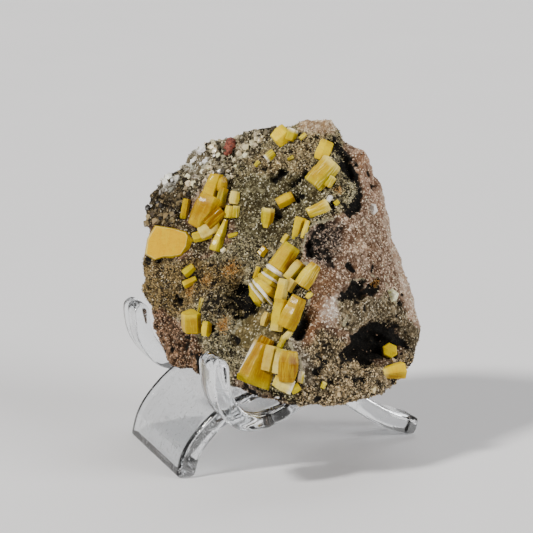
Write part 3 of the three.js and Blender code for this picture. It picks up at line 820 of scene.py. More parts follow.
# Stand: flat bars bent along side profiles [y, z]; the hooks' third number is how far they
# stand in towards the middle. Widths are halves.
standShape = {
    "thick": 3.4,
    "hub": {"halfLength": 17.5, "front": -8.5, "back": 2.5, "height": 14.3},
    "hookHalfWidth": 4,
    "hookRound": 1.6,  # how far back from its end a hook starts to round off
    "hookSpacing": 43,
    "hookLean": {-1: -1.1, 1: -0.2},  # how far the top of each hook leans outward
    "hookRise": 0.9,
    "hookBend": (12.5, 20),  # heights between which the lean and the rise come in
    "hook": [
        (-3.5, 14.3, 6), (-7.5, 14.1, 2.8), (-11, 13.1, 0.7), (-14.4, 12.2, 0),
        (-17.2, 12.7, 0), (-19.3, 14.7, 0), (-20.5, 17.6, 0), (-20.9, 22.9, 0),
    ],
    "foot": {
        "profile": [
            (-5, 14.1), (-9, 13.7), (-12.8, 12.6), (-16.6, 10.8), (-20, 7.8), (-22.6, 4.1), (-23.9, -0.6),
        ],
        "widths": (16.6, 14.6),
    },
    "leg": {
        "profile": [(-1, 14.3), (3, 13.5), (7, 11.2), (11, 8.5), (15.3, 5.5), (19.4, 3.1), (24.4, 1.4)],
        "widths": (8, 3.8),
    },
    "edgeRound": 0.75,
    "steps": 60,
    "voxel": 0.33,
    "smooth": 7,
    "reach": 0.3,  # how far round the stand its neighbours are looked at
    "farAway": 9.0,  # the gap noted for what is further off
    "grainGap": 0.02,
}


def curveThrough(places, steps):  # an even smooth curve through the places
    places = np.array(places, dtype=float)
    padded = np.concatenate([2 * places[:1] - places[1:2], places, 2 * places[-1:] - places[-2:-1]])
    curve = []
    for step in range(steps + 1):
        place = step / steps * (len(places) - 1)
        index = min(int(place), len(places) - 2)
        part = place - index
        a, b, c, d = padded[index:index + 4]
        bend = (2 * a - 5 * b + 4 * c - d) * part + (3 * b - a - 3 * c + d) * part * part
        curve.append(0.5 * (2 * b + (c - a) * part + bend * part))
    return np.array(curve)


def standBar(path, halfStart, halfEnd, roundOff=0):
    steps = standShape["steps"]
    curve = curveThrough(path, steps)
    half = standShape["thick"] / 2
    roundness = standShape["edgeRound"]
    section = []
    for quarter, (side, top) in enumerate(((1, 1), (-1, 1), (-1, -1), (1, -1))):
        for turn in range(4):
            angle = math.radians(quarter * 90 + turn * 30)
            high = top * (half - roundness) + math.sin(angle) * roundness
            section.append((side, math.cos(angle) * roundness, high))
    around = len(section)
    points = []
    left = np.linalg.norm(curve - curve[-1], axis=1)  # how far each place is from the end
    for step, middle in enumerate(curve):
        part = step / steps
        thin = math.sqrt(max(1 - (1 - min(left[step] / roundOff, 1)) ** 2, 0.05)) if roundOff else 1
        along = unit(curve[min(step + 1, steps)] - curve[max(step - 1, 0)])
        across = unit(np.array([-along[1], along[0], 0]))
        upward = np.cross(along, across)
        wide = halfEnd + (halfStart - halfEnd) * (1 - part) ** 2 - roundness
        wide -= (1 - thin) * 1.2
        for side, out, high in section:
            points.append(middle + across * (side * wide + out) + upward * high * thin)
    faces = [tuple(range(around)), tuple(reversed(range(steps * around, (steps + 1) * around)))]
    for step in range(steps):
        for side in range(around):
            a = step * around + side
            b = step * around + (side + 1) % around
            faces.append((a, a + around, b + around, b))
    return np.array(points), faces


def makeStand():
    hub = standShape["hub"]
    middle = (hub["front"] + hub["back"]) / 2
    hubPath = [(x, middle, hub["height"]) for x in np.linspace(-hub["halfLength"], hub["halfLength"], 5)]
    bars = [standBar(hubPath, (hub["back"] - hub["front"]) / 2, (hub["back"] - hub["front"]) / 2)]
    wide = standShape["hookHalfWidth"]
    for side in (-1, 1):
        path = []
        for y, z, inset in standShape["hook"]:
            high = ease(z, *standShape["hookBend"])
            y += standShape["hookLean"][side] * high * (inset == 0)
            z += standShape["hookRise"] * high * (inset == 0)
            path.append((side * (standShape["hookSpacing"] / 2 - inset), y, z))
        bars.append(standBar(path, wide, wide, standShape["hookRound"]))
    for name in ("foot", "leg"):
        path = [(0, y, z) for y, z in standShape[name]["profile"]]
        bars.append(standBar(path, *standShape[name]["widths"]))
    points = np.concatenate([part for part, _ in bars]) + np.array(display["boxShift"])
    faces = []
    first = 0
    for part, barFaces in bars:
        faces.extend(tuple(first + index for index in face) for face in barFaces)
        first += len(part)
    corners = list(itertools.product((-50, 50), (-50, 50), (-10, 0.02)))  # what is under the table is cut off
    sides = [(0, 1, 3, 2), (4, 6, 7, 5), (0, 4, 5, 1), (2, 3, 7, 6), (0, 2, 6, 4), (1, 5, 7, 3)]
    underTable = makeMesh("underTable", np.array(corners) * 1000, sides, smooth=False)
    points, faces = remesh(points, faces, standShape["voxel"], underTable)
    bpy.data.objects.remove(underTable)
    points = relax(points, faces, standShape["smooth"])
    points[:, 2] -= points[:, 2].min()
    return points, faces


standPoints, standFaces = makeStand()
standTree = BVHTree.FromPolygons(standPoints.tolist(), standFaces)


def standSurface(point):  # the nearest place on the stand, and which way is out of it
    place, outward, _, _ = standTree.find_nearest(Vector(point))
    return place, outward


def standGap(points):  # how far points lie outside the stand, below 0 inside it
    gaps = np.full(len(points), standShape["farAway"])
    for index in closeTo(points, standPoints, standShape["reach"]):
        place, outward = standSurface(points[index])
        gaps[index] = (Vector(points[index]) - place).dot(outward)
    return gaps


def clearOfStand(points, gap):  # the rock rests on the stand and doesn't reach into it
    points = points.copy()
    for index in np.flatnonzero(standGap(points) < gap):
        place, outward = standSurface(points[index])
        points[index] = place + outward * gap
    return points


# Shaders

class Wire:  # one node output, so that shader maths reads as an expression
    def __init__(self, shader, socket):
        self.shader = shader
        self.socket = socket

    def maths(self, operation, first, second):
        return self.shader.node("ShaderNodeMath", {"operation": operation}, {0: first, 1: second})

    def __add__(self, other):
        return self.maths("ADD", self, other)

    def __sub__(self, other):
        return self.maths("SUBTRACT", self, other)

    def __mul__(self, other):
        return self.maths("MULTIPLY", self, other)

    def __pow__(self, other):
        return self.maths("POWER", self, other)

    def atLeast(self, other):
        return self.maths("MAXIMUM", self, other)


class Shader:
    def __init__(self, name, settings):
        self.material = bpy.data.materials.new(name)
        self.material.use_nodes = True
        self.tree = self.material.node_tree
        self.surface = self.tree.nodes["Principled BSDF"]
        for key, value in settings.items():  # the same all over the surface
            self.surface.inputs[key].default_value = value

    def node(self, kind, settings=None, values=None, output=0):
        made = self.tree.nodes.new(kind)
        for key, value in (settings or {}).items():
            if key == "stops":
                self.setStops(made.color_ramp, value)
            else:
                setattr(made, key, value)
        for key, value in (values or {}).items():
            self.join(value, made.inputs[key])
        return Wire(self, made.outputs[output])

    def setStops(self, ramp, stops):
        for index, (place, tone) in enumerate(stops):
            stop = ramp.elements[index] if index < 2 else ramp.elements.new(place)
            stop.position = place
            stop.color = (*tone, 1)

    def join(self, value, socket):
        if isinstance(value, Wire):
            self.tree.links.new(value.socket, socket)
        else:
            socket.default_value = value

    def feed(self, name, wire):
        self.join(wire, self.surface.inputs[name])

    def place(self):  # place on the piece, in metres
        return self.node("ShaderNodeTexCoord", output="Object")

    def painted(self, name, output="Fac"):  # a number or colour painted on the mesh
        return self.node("ShaderNodeAttribute", {"attribute_name": name}, output=output)

    def noise(self, size, detail=2, rough=0.5, place=None, output="Fac"):  # size in mm
        values = {"Scale": 1000 / size, "Detail": detail, "Roughness": rough}
        values["Vector"] = place or self.place()
        return self.node("ShaderNodeTexNoise", None, values, output)

    def grains(self, size, feature="F1", output="Distance", place=None):
        values = {"Scale": 1000 / size, "Vector": place or self.place()}
        return self.node("ShaderNodeTexVoronoi", {"feature": feature}, values, output)

    def between(self, value, low, high):  # 0 at low, 1 at high, kept in range
        values = {"Value": value, "From Min": low, "From Max": high}
        return self.node("ShaderNodeMapRange", {"clamp": True}, values)

    def vectors(self, operation, first, second):
        return self.node("ShaderNodeVectorMath", {"operation": operation}, {0: first, 1: second}, "Vector")

    def blend(self, share, first, second, kind="MIX"):  # two colours
        made = self.tree.nodes.new("ShaderNodeMix")
        made.data_type = "RGBA"
        made.blend_type = kind
        for value, index in ((share, 0), (first, 6), (second, 7)):
            plain = value if isinstance(value, Wire) or index == 0 else (*value, 1)
            self.join(plain, made.inputs[index])
        return Wire(self, made.outputs[2])

    def bump(self, height, distance, strength=1):  # distance in mm
        values = {"Height": height, "Distance": distance * 0.001, "Strength": strength}
        self.feed("Normal", self.node("ShaderNodeBump", None, values))


# Rock

def rockMaterial():
    shader = Shader("rockGround", {"Specular IOR Level": 0.15, "IOR": 1.5})
    speckle = shader.noise(0.36, 3, 0.75)
    coarse = shader.noise(1.9, 3, 0.6)
    broad = shader.noise(6, 2, 0.5)
    grainOwn = shader.grains(0.55, output="Color")
    grainValue = shader.node("ShaderNodeSeparateColor", None, {"Color": grainOwn})
    grainEdge = shader.grains(0.55)
    share = (speckle - 0.5) * 1.5 + (grainValue - 0.5) * 0.5 + (coarse - 0.5) * 1.1 + (broad - 0.5) * 0.7
    share = share + (shader.painted("grainTone") - 0.5) * 0.4 + 0.42
    # pulled toward the dark colour in the gaps between grains: painted shade
    share = shader.between(share - shader.painted("gap") * 0.3, 0, 1) ** 1.9
    light = shader.painted("lightTone", "Color")
    ground = shader.blend(share, shader.painted("darkTone", "Color"), light)
    warm = shader.between(shader.noise(2.8, 3, 0.6), 0.5, 0.62)
    ground = shader.blend(warm * 0.4, ground, (1.08, 0.92, 0.68), "MULTIPLY")
    fine = shader.noise(0.2, 3, 0.7)
    ground = shader.blend(shader.between(fine, 0.55, 0.3) * 0.8, ground, (0.38, 0.34, 0.27), "MULTIPLY")
    # painted glints: a few grains are painted near white as highlights, and made glossier
    glint = shader.node("ShaderNodeSeparateColor", None, {"Color": shader.grains(0.26, output="Color")})
    paintedGlint = shader.between(glint + speckle * 0.5, 1.17, 1.22)
    ground = shader.blend(paintedGlint * 0.85, ground, shader.blend(0.45, light, (0.9, 0.86, 0.7)))
    lipEdge = shader.painted("lip") + (speckle - 0.5) * 0.5
    ground = shader.blend(shader.between(lipEdge, 0.42, 0.7) * 0.7, ground, colour(*lipShape["tone"]))
    # painted shade in the hollows: the ground there turns near black, with a few dim specks
    hollowEdge = shader.painted("hollow") + (speckle - 0.5) * 0.9 + (coarse - 0.5) * 0.4
    shade = shader.between(hollowEdge, 0.48, 0.68)
    hollowShadeTone = shader.blend(shader.between(speckle, 0.56, 0.8), (0.003, 0.0025, 0.002), (0.07, 0.056, 0.032))
    shader.feed("Base Color", shader.blend(shade, ground, hollowShadeTone))
    shader.feed("Roughness", shader.between(share, -0.2, 1.4) * -0.35 + paintedGlint * -0.3 + 0.85)
    shader.bump(speckle * 0.7 + grainEdge * -0.6 + fine * 0.5, 0.26, 0.9)
    return shader.material


def finishRock(points, faces):
    smoothed = relax(points, faces, 4)
    normals = unit(relax(pointNormals(smoothed, faces), faces, 2))
    shares = findGrounds(points, normals)
    height, gaps, ownTone = reliefHeight(points, shares)
    fine = softNoise(points, 0.45, 41) * 0.05
    points = clearOfStand(points + normals * (fine + height * 0.15)[:, None], rockShape["standGap"])
    lightTone = sum(share[:, None] * rockGrounds[name]["light"] for name, share in shares.items())
    darkTone = sum(share[:, None] * rockGrounds[name]["dark"] for name, share in shares.items())
    hollow = hollowDepth(points)
    piece = makeMesh("rock", points, faces)
    paint(piece, "lightTone", lightTone)
    paint(piece, "darkTone", darkTone)
    paint(piece, "grainTone", ownTone)
    # where painted shade falls in the gaps between grains
    paint(piece, "gap", gaps)
    paint(piece, "lip", lipShare(points, BVHTree.FromPolygons(points.tolist(), faces)))
    # how far each point lies in the painted shade of the hollows
    paint(piece, "hollow", hollow)
    finishPiece(piece, rockMaterial(), "matrix", "matrix_rock")
    return points, normals, shares, lightTone, darkTone, ease(hollow, 0.4, 0.6)


rockParts = finishRock(rockPoints, rockFaces)
rockPoints, rockNormals, rockShares, rockLight, rockDark, rockShade = rockParts
print("rock done")

# Crystals. Each prism runs between the middles of its two ends in the display view: width in
# mm, deep as a share of it, lift out of the rock, rise of the second end, roll in degrees.
# tones are its colours from the first end to the second; sides are painted light and shade across it from its
# left to its right, mostly darker on the side away from the key lamp.
crystalTones = {
    "golden": colour(0.71, 0.58, 0),
    "bright": colour(0.82, 0.69, 0),
    "lemon": colour(0.93, 0.81, 0),
    "deep": colour(0.61, 0.45, 0),
    "amber": colour(0.49, 0.325, 0),
    "tan": colour(0.88, 0.69, 0),
    "pale": colour(0.86, 0.765, 0.14),
    "cream": colour(0.91, 0.84, 0.48),
    "lime": colour(0.70, 0.635, 0),
    "olive": colour(0.53, 0.47, 0.02),
    "beige": colour(0.78, 0.68, 0.32),
    "frost": colour(0.99, 0.98, 0.95),
}

crystals = {
    "left_cluster": [
        {"from": (197, 227), "to": (213, 197), "wide": 5.6, "lift": 1.3, "roll": 20, "ends": (0.75, 0.9),
         "tones": ("golden", "beige", "golden"), "sides": ("deep", "deep"), "warp": 0.24},
        {"from": (206, 206), "to": (217, 174), "wide": 3.9, "lift": 1.5, "roll": 10, "ends": (1, 0.66),
         "tones": ("golden", "bright", "golden"), "sides": ("bright", "golden"), "warp": 0.24},
        {"from": (221, 191), "to": (222.5, 177.5), "wide": 2.3, "lift": 1.5, "roll": 40, "ends": (0.8, 0.7),
         "tones": ("golden", "golden", "deep"), "sides": ("bright", "deep"), "warp": 0.16},
        {"from": (219, 207), "to": (224, 188), "wide": 2.4, "lift": 0.9, "roll": 30, "ends": (1, 0.8),
         "tones": ("deep", "olive", "deep"), "warp": 0.12},
        {"from": (207, 225.5), "to": (223, 211), "wide": 2.7, "lift": 1.4, "roll": 0, "ends": (0.9, 0.9),
         "tones": ("amber", "amber", "amber"), "warp": 0.12},
        {"from": (200, 234), "to": (220, 224), "wide": 2.6, "lift": 0.8, "roll": 40,
         "tones": ("cream", "cream", "lime"), "warp": 0.12},
        {"from": (193, 238), "to": (212, 233), "wide": 2, "lift": 1.2, "roll": 12,
         "tones": ("pale", "pale", "pale"), "warp": 0.08},
    ],
    "left_strip": [
        {"from": (183.5, 219), "to": (187, 199), "wide": 1.5, "lift": 0.7, "roll": 5,
         "tones": ("olive", "golden", "golden")},
    ],
    "left_spike": [
        {"from": (215, 251), "to": (226, 220), "wide": 2.9, "lift": 0.8, "roll": 25, "ends": (0.9, 0.3),
         "tones": ("lime", "lime", "golden"), "sides": ("pale", "olive"), "warp": 0.16},
    ],
    "left_pale_prism": [
        {"from": (233.5, 204), "to": (235.5, 191.5), "wide": 1.8, "lift": 0.6, "roll": 10,
         "tones": ("cream", "cream", "cream"), "sides": ("cream", "pale")},
    ],
    "left_pale_pair": [
        {"from": (228, 218), "to": (230, 206), "wide": 1.8, "lift": 0.6, "roll": 30,
         "tones": ("lime", "pale", "pale")},
        {"from": (235.5, 218), "to": (236.5, 206), "wide": 1.4, "lift": 0.4, "roll": 15,
         "tones": ("lime", "lime", "cream")},
    ],
    "left_lens": [
        {"from": (228, 236.5), "to": (238, 234), "wide": 0.9, "lift": 0.35, "roll": 0, "ends": (0.7, 0.7),
         "tones": ("golden", "lime", "golden")},
    ],
    "left_bead": [
        {"from": (221, 252), "to": (225.5, 248.5), "wide": 0.9, "lift": 0.4, "roll": 20,
         "tones": ("frost", "frost", "cream")},
    ],
    "top_block": [
        {"from": (275, 141.5), "to": (288, 130), "wide": 3.7, "lift": 0.9, "roll": 25,
         "tones": ("lemon", "lemon", "lime"), "warp": 0.1},
        {"from": (289, 140.5), "to": (293, 129), "wide": 2.4, "lift": 0.9, "roll": 10,
         "tones": ("golden", "lime", "frost"), "warp": 0.1},
    ],
    "top_sliver": [
        {"from": (300, 139), "to": (306, 134), "wide": 0.9, "lift": 0.4, "roll": 0,
         "tones": ("lime", "pale", "pale")},
    ],
    "upper_small_box": [
        {"from": (266, 159), "to": (274, 152.5), "wide": 1.8, "lift": 0.5, "roll": 20,
         "tones": ("frost", "lime", "lime")},
    ],
    "upper_bead": [
        {"from": (255, 166), "to": (259.5, 161.5), "wide": 0.9, "lift": 0.4, "roll": 10,
         "tones": ("lime", "lime", "pale")},
    ],
    "upper_pale_bead": [
        {"from": (287.5, 159.5), "to": (293.5, 157), "wide": 0.8, "lift": 0.3, "roll": 10,
         "tones": ("olive", "olive", "lime")},
    ],
    "upper_barrel": [
        {"from": (312.5, 185), "to": (333.5, 161), "wide": 4.4, "lift": 0.9, "roll": 18, "ends": (0.92, 0.85),
         "tones": ("lime", "pale", "cream"), "sides": ("golden", "lime"), "warp": 0.14, "ribs": 0.02},
        {"from": (327, 186), "to": (333, 176), "wide": 1.8, "lift": 1.1, "roll": 0,
         "tones": ("golden", "lime", "cream"), "warp": 0.12},
    ],
    "upper_block": [
        {"from": (320, 160), "to": (328, 141), "wide": 2.9, "lift": 0.7, "roll": 35,
         "tones": ("bright", "lemon", "golden"), "warp": 0.1},
    ],
    "middle_box": [
        {"from": (277.5, 204), "to": (293, 196), "wide": 2.3, "lift": 0.7, "roll": 20,
         "tones": ("golden", "golden", "deep"), "sides": ("bright", "golden")},
    ],
    "middle_taper": [
        {"from": (266, 228), "to": (268.5, 208.5), "wide": 2.7, "lift": 0.6, "roll": 10, "ends": (0.55, 0.88),
         "tones": ("pale", "golden", "cream"), "sides": ("lime", "deep")},
    ],
    "striated_chunk": [
        {"from": (308, 214), "to": (328, 204), "wide": 2.8, "lift": 0.6, "roll": 30, "ends": (0.8, 0.95),
         "tones": ("pale", "lime", "cream"), "sides": ("golden", "pale"), "warp": 0.16},
    ],
    "tiny_yellow_bead": [
        {"from": (334.5, 204.5), "to": (338.5, 201), "wide": 0.9, "lift": 0.4, "roll": 0,
         "tones": ("lime", "lime", "pale")},
    ],
    "long_blade": [
        {"from": (295, 240), "to": (301, 217.5), "wide": 2.2, "lift": 0.5, "roll": 15, "ends": (0.7, 1),
         "tones": ("lime", "golden", "bright"), "sides": ("pale", "golden")},
    ],
    "short_blade": [
        {"from": (302.5, 238), "to": (308, 220.5), "wide": 1.2, "lift": 0.4, "roll": 30, "ends": (0.8, 0.8),
         "tones": ("pale", "pale", "golden")},
    ],
    "pale_stub": [
        {"from": (282.5, 243), "to": (288, 235), "wide": 1.2, "lift": 0.4, "roll": 20,
         "tones": ("cream", "pale", "beige")},
    ],
    "middle_barrel": [
        {"from": (260, 255), "to": (266, 248), "wide": 1.7, "lift": 0.5, "roll": 30,
         "tones": ("golden", "golden", "deep")},
    ],
    "central_stack": [
        # the frost rings are white growth bands, partly a painted reflection on their steps
        {"from": (277, 269), "to": (292.5, 245.5), "wide": 4.1, "lift": 1.9, "roll": 22, "ends": (1, 0.84),
         "tones": ("bright", "bright", "lime"), "sides": ("bright", "amber")},
        {"from": (274.3, 273), "to": (277, 269), "wide": 4.3, "lift": 1.9, "roll": 22,
         "tones": ("frost", "frost", "frost")},
        {"from": (271.6, 277.2), "to": (274.4, 272.8), "wide": 4.3, "lift": 1.9, "roll": 22,
         "tones": ("pale", "olive", "beige")},
        {"from": (270.2, 279.4), "to": (271.8, 276.9), "wide": 4.3, "lift": 1.9, "roll": 22,
         "tones": ("frost", "frost", "frost")},
        {"from": (266.6, 284), "to": (270.4, 279.2), "wide": 4.8, "lift": 1.9, "roll": 18,
         "tones": ("beige", "pale", "golden")},
        {"from": (263.6, 292), "to": (268.8, 285), "wide": 5.8, "lift": 1.8, "roll": 14,
         "tones": ("golden", "olive", "beige"), "sides": ("pale", "golden")},
        {"from": (262, 294), "to": (264.6, 291.9), "wide": 6.1, "lift": 1.9, "roll": 14,
         "tones": ("frost", "frost", "frost")},
        {"from": (260.9, 295), "to": (262.1, 294), "wide": 5.9, "lift": 1.9, "roll": 14,
         "tones": ("olive", "olive", "olive")},
        {"from": (258.4, 297), "to": (261, 294.9), "wide": 6.1, "lift": 1.9, "roll": 14,
         "tones": ("frost", "frost", "frost"), "sides": ("frost", "cream")},
        {"from": (252.8, 300.6), "to": (258.6, 296.8), "wide": 6, "lift": 1.8, "roll": 14, "ends": (0.5, 1),
         "tones": ("lime", "pale", "pale")},
    ],
    "central_corner": [
        {"from": (255, 279), "to": (259, 267), "wide": 1, "lift": 0.5, "roll": 0,
         "tones": ("golden", "golden", "pale")},
    ],
    "central_twins": [
        {"from": (287, 279), "to": (301, 262), "wide": 2, "lift": 1.4, "roll": 10,
         "tones": ("pale", "pale", "deep"), "sides": ("cream", "lime")},
        {"from": (287, 291), "to": (294, 280), "wide": 1.8, "lift": 1.6, "roll": 15,
         "tones": ("beige", "beige", "cream")},
        {"from": (278, 310), "to": (284.5, 279), "wide": 2.2, "lift": 2.1, "roll": 20,
         "tones": ("cream", "cream", "cream"), "sides": ("lemon", "cream")},
        {"from": (276, 331), "to": (281, 299), "wide": 2.5, "lift": 1.9, "roll": 20,
         "tones": ("cream", "pale", "golden"), "sides": ("pale", "pale")},
        {"from": (285, 328), "to": (299.5, 297), "wide": 4.2, "lift": 1.6, "roll": 28, "ends": (0.88, 0.72),
         "tones": ("golden", "golden", "deep"), "sides": ("golden", "deep"), "warp": 0.1},
    ],
    "ridge_barrel": [
        {"from": (301, 286), "to": (316, 264.5), "wide": 3.4, "lift": 1, "roll": 25, "ends": (0.9, 0.7),
         "tones": ("golden", "golden", "deep"), "sides": ("pale", "golden"), "warp": 0.08},
    ],
    "central_companion": [
        {"from": (263.5, 326), "to": (268, 312.5), "wide": 1.9, "lift": 0.6, "roll": 30, "ends": (0.8, 0.8),
         "tones": ("beige", "beige", "beige"), "sides": ("beige", "deep")},
    ],
    "ridge_crumb": [
        {"from": (306.5, 298), "to": (311.5, 292.5), "wide": 0.9, "lift": 0.4, "roll": 10,
         "tones": ("pale", "pale", "lime")},
    ],
    "lower_cluster": [
        {"from": (256, 386), "to": (270, 346), "wide": 7.6, "deep": 0.45, "lift": 1.4, "roll": 0,
         "ends": (1, 0.66), "tones": ("lime", "golden", "deep"), "sides": ("deep", "deep"), "ribs": 0.08},
        {"from": (241, 374), "to": (257.5, 340), "wide": 1, "deep": 1.2, "lift": 1.7, "roll": 20,
         "tones": ("frost", "cream", "golden"), "sides": ("frost", "golden"), "warp": 0.12},
        {"from": (262, 350), "to": (268, 338), "wide": 2.9, "deep": 0.7, "lift": 1.6, "roll": 10,
         "tones": ("deep", "amber", "amber")},
        {"from": (267, 371), "to": (273, 346), "wide": 2.7, "lift": 2.1, "roll": 15,
         "tones": ("beige", "beige", "beige")},
        {"from": (277, 374), "to": (282, 349), "wide": 2.2, "lift": 2.4, "roll": 25,
         "tones": ("cream", "frost", "lime"), "sides": ("cream", "frost")},
        {"from": (286.5, 382), "to": (289.5, 351), "wide": 4, "lift": 2, "roll": 30, "ends": (0.75, 0.8),
         "tones": ("deep", "deep", "golden"), "sides": ("deep", "amber"), "warp": 0.08},
        {"from": (274, 380), "to": (293, 388), "wide": 2.8, "lift": 1.6, "roll": 10, "ends": (0.7, 0.9),
         "tones": ("pale", "cream", "frost")},
        {"from": (291, 391), "to": (299.5, 386), "wide": 1.6, "lift": 1.5, "roll": 20,
         "tones": ("lime", "lime", "golden")},
    ],
    "lower_thin_prism": [
        {"from": (279.5, 347.5), "to": (284.5, 336), "wide": 1.2, "lift": 0.5, "roll": 20,
         "tones": ("lime", "lime", "cream")},
    ],
    "lower_pale_box": [
        {"from": (285, 338), "to": (291, 331), "wide": 1.2, "lift": 0.5, "roll": 20,
         "tones": ("cream", "cream", "pale")},
    ],
    "lower_white_prism": [
        {"from": (299.5, 383), "to": (302, 371.5), "wide": 1.2, "lift": 0.5, "roll": 20,
         "tones": ("beige", "cream", "frost"), "sides": ("frost", "lime")},
    ],
    "lower_bead": [
        {"from": (322, 388), "to": (325, 382), "wide": 1, "lift": 0.4, "roll": 10,
         "tones": ("lime", "lime", "cream")},
    ],
    "left_upper_prism": [
        {"from": (184, 274.5), "to": (194, 266.5), "wide": 1.9, "lift": 0.6, "roll": 20, "ends": (0.9, 0.8),
         "tones": ("lime", "lime", "golden")},
    ],
    "left_lower_prism": [
        {"from": (183.5, 285), "to": (196.5, 279), "wide": 1.5, "lift": 0.6, "roll": 20,
         "tones": ("pale", "golden", "lime")},
    ],
    "left_box": [
        {"from": (194.5, 331), "to": (193, 312), "wide": 4.7, "lift": 0.9, "rise": 1, "roll": 12,
         "tones": ("golden", "golden", "pale"), "sides": ("golden", "deep")},
    ],
    "left_round": [
        {"from": (205.5, 336), "to": (207.5, 321.5), "wide": 2.3, "lift": 0.7, "roll": 25, "ends": (0.7, 0.8),
         "tones": ("pale", "golden", "lime"), "sides": ("pale", "deep")},
    ],
    "green_sliver": [
        {"from": (199, 312), "to": (203, 298.5), "wide": 1.1, "lift": 0.4, "roll": 10, "ends": (0.6, 0.9),
         "tones": ("olive", "olive", "beige")},
    ],
    "vug_upper_crystal": [
        {"from": (388.5, 353), "to": (390, 350), "wide": 3, "lift": 0.5, "rise": 2.4, "roll": 12,
         "tones": ("golden", "lemon", "lemon")},
    ],
    "vug_lower_crystal": [
        # the cream first end is a painted highlight on the crystal's upper-left face
        {"from": (381, 373.5), "to": (403.5, 370), "wide": 3.5, "lift": 1, "rise": -1.8, "roll": 20,
         "ends": (0.5, 0.95), "tones": ("cream", "bright", "bright"), "sides": ("bright", "deep")},
    ],
}

farLeftPlate = {
    # the broad face and the whole outline in the display view, matched point by point
    "face": [
        (156, 226), (173, 229), (185.5, 233), (187, 236), (185.5, 246), (180.5, 254), (171, 256),
        (163, 256), (155, 259), (146, 253.5), (148, 239),
    ],
    "outline": [
        (155, 225), (173, 228), (187, 232), (193.5, 240), (190.5, 249.5), (182, 257), (171, 258.5),
        (163, 258), (154.5, 260.5), (144.5, 254), (147, 238.5),
    ],
    "bevelDepth": 1,
    "thick": 2.2,
    "lift": 2.1,
    "tilt": 0.55,
}

crystalShape = {
    "cuts": (0.04, 0.34, 0.66, 0.96),  # points along each side of the six-sided section
    "endBevel": 0.045,  # as a share of the width
    "step": 0.35,  # mm between the rings of points
    "capRings": (0.72, 0.4),
    "growth": 0.03,  # height of the growth steps in mm
    "faceDrift": 0.15,  # how much the faces of one prism differ in tone
    "edgeLight": 0.2,  # how much paler its edges are painted, as a highlight along them
}


def prismEnds(prism, tree):
    across = (prism["from"][0] + prism["to"][0]) / 2
    down = (prism["from"][1] + prism["to"][1]) / 2
    hits, _ = castAll(tree, [(across, down)])
    out = (hits[0] - aim) @ toward + prism["lift"]
    rise = prism.get("rise", 0)
    return spot(*prism["from"], out - rise / 2), spot(*prism["to"], out + rise / 2)


def prismRings(prism, length):  # how far along each ring of points is, and how wide
    radius = prism["wide"] / 2
    ends = prism.get("ends", (0.94, 0.94))
    bevel = min(crystalShape["endBevel"] * prism["wide"], length * 0.2)
    inset = 1 - min(bevel / radius, 0.4)
    count = max(3, round(length / crystalShape["step"]))
    rings = [(0, ends[0] * inset * cap) for cap in reversed(crystalShape["capRings"])]
    rings.append((0, ends[0] * inset))
    for step in range(count + 1):
        part = step / count
        scale = ends[0] + (ends[1] - ends[0]) * part + (1 - max(ends)) * 4 * part * (1 - part)
        rings.append((bevel + (length - 2 * bevel) * part, scale))
    rings.append((length, ends[1] * inset))
    rings.extend((length, ends[1] * inset * cap) for cap in crystalShape["capRings"])
    return rings


def prismSkin(prism, tree, rng, seed):
    start, finish = prismEnds(prism, tree)
    length = np.linalg.norm(finish - start)
    axis = (finish - start) / length
    sideways = unit(np.cross(axis, toward))
    depthways = np.cross(sideways, axis)
    radius = prism["wide"] / 2
    section = []
    for corner in range(6):
        here, there = (math.radians(prism["roll"] + (corner + step) * 60) for step in (0, 1))
        for cut in crystalShape["cuts"]:
            side = math.cos(here) * (1 - cut) + math.cos(there) * cut
            depth = math.sin(here) * (1 - cut) + math.sin(there) * cut
            section.append((side, depth * prism.get("deep", 1)))
    section = np.array(section)
    around = len(section)
    rings = prismRings(prism, length)
    along = np.repeat([place for place, _ in rings], around)
    scale = np.repeat([wide for _, wide in rings], around)
    flat = np.tile(section, (len(rings), 1))
    steps = np.floor(softNoise(np.stack([along * 0, along, along * 0], axis=1), 0.5, seed) * 2.5)
    grown = scale * radius + steps * crystalShape["growth"] * np.minimum(scale, 1)
    grown += prism.get("ribs", 0) * np.sin(along * 14) * ease(along, 2.6, 0.4)
    points = start + axis * along[:, None]
    points = points + sideways * (flat[:, :1] * grown[:, None]) + depthways * (flat[:, 1:] * grown[:, None])
    for size, share in ((2.2, 1), (0.7, 0.35)):
        shift = np.stack([softNoise(points, size, seed + k) for k in range(3)], axis=1)
        points = points + shift * prism.get("warp", 0.04) * share
    faces = []
    for ring in range(len(rings) - 1):
        for side in range(around):
            a = ring * around + side
            b = ring * around + (side + 1) % around
            faces.append((a, a + around, b + around, b))
    last = (len(rings) - 1) * around
    faces.append(tuple(range(around)))
    faces.append(tuple(reversed(range(last, last + around))))
    tones = prismTones(prism, along / length, flat[:, 0], rng, len(rings))
    local = np.stack([flat[:, 0] * grown, flat[:, 1] * grown, along], axis=1)
    return points, faces, tones, local


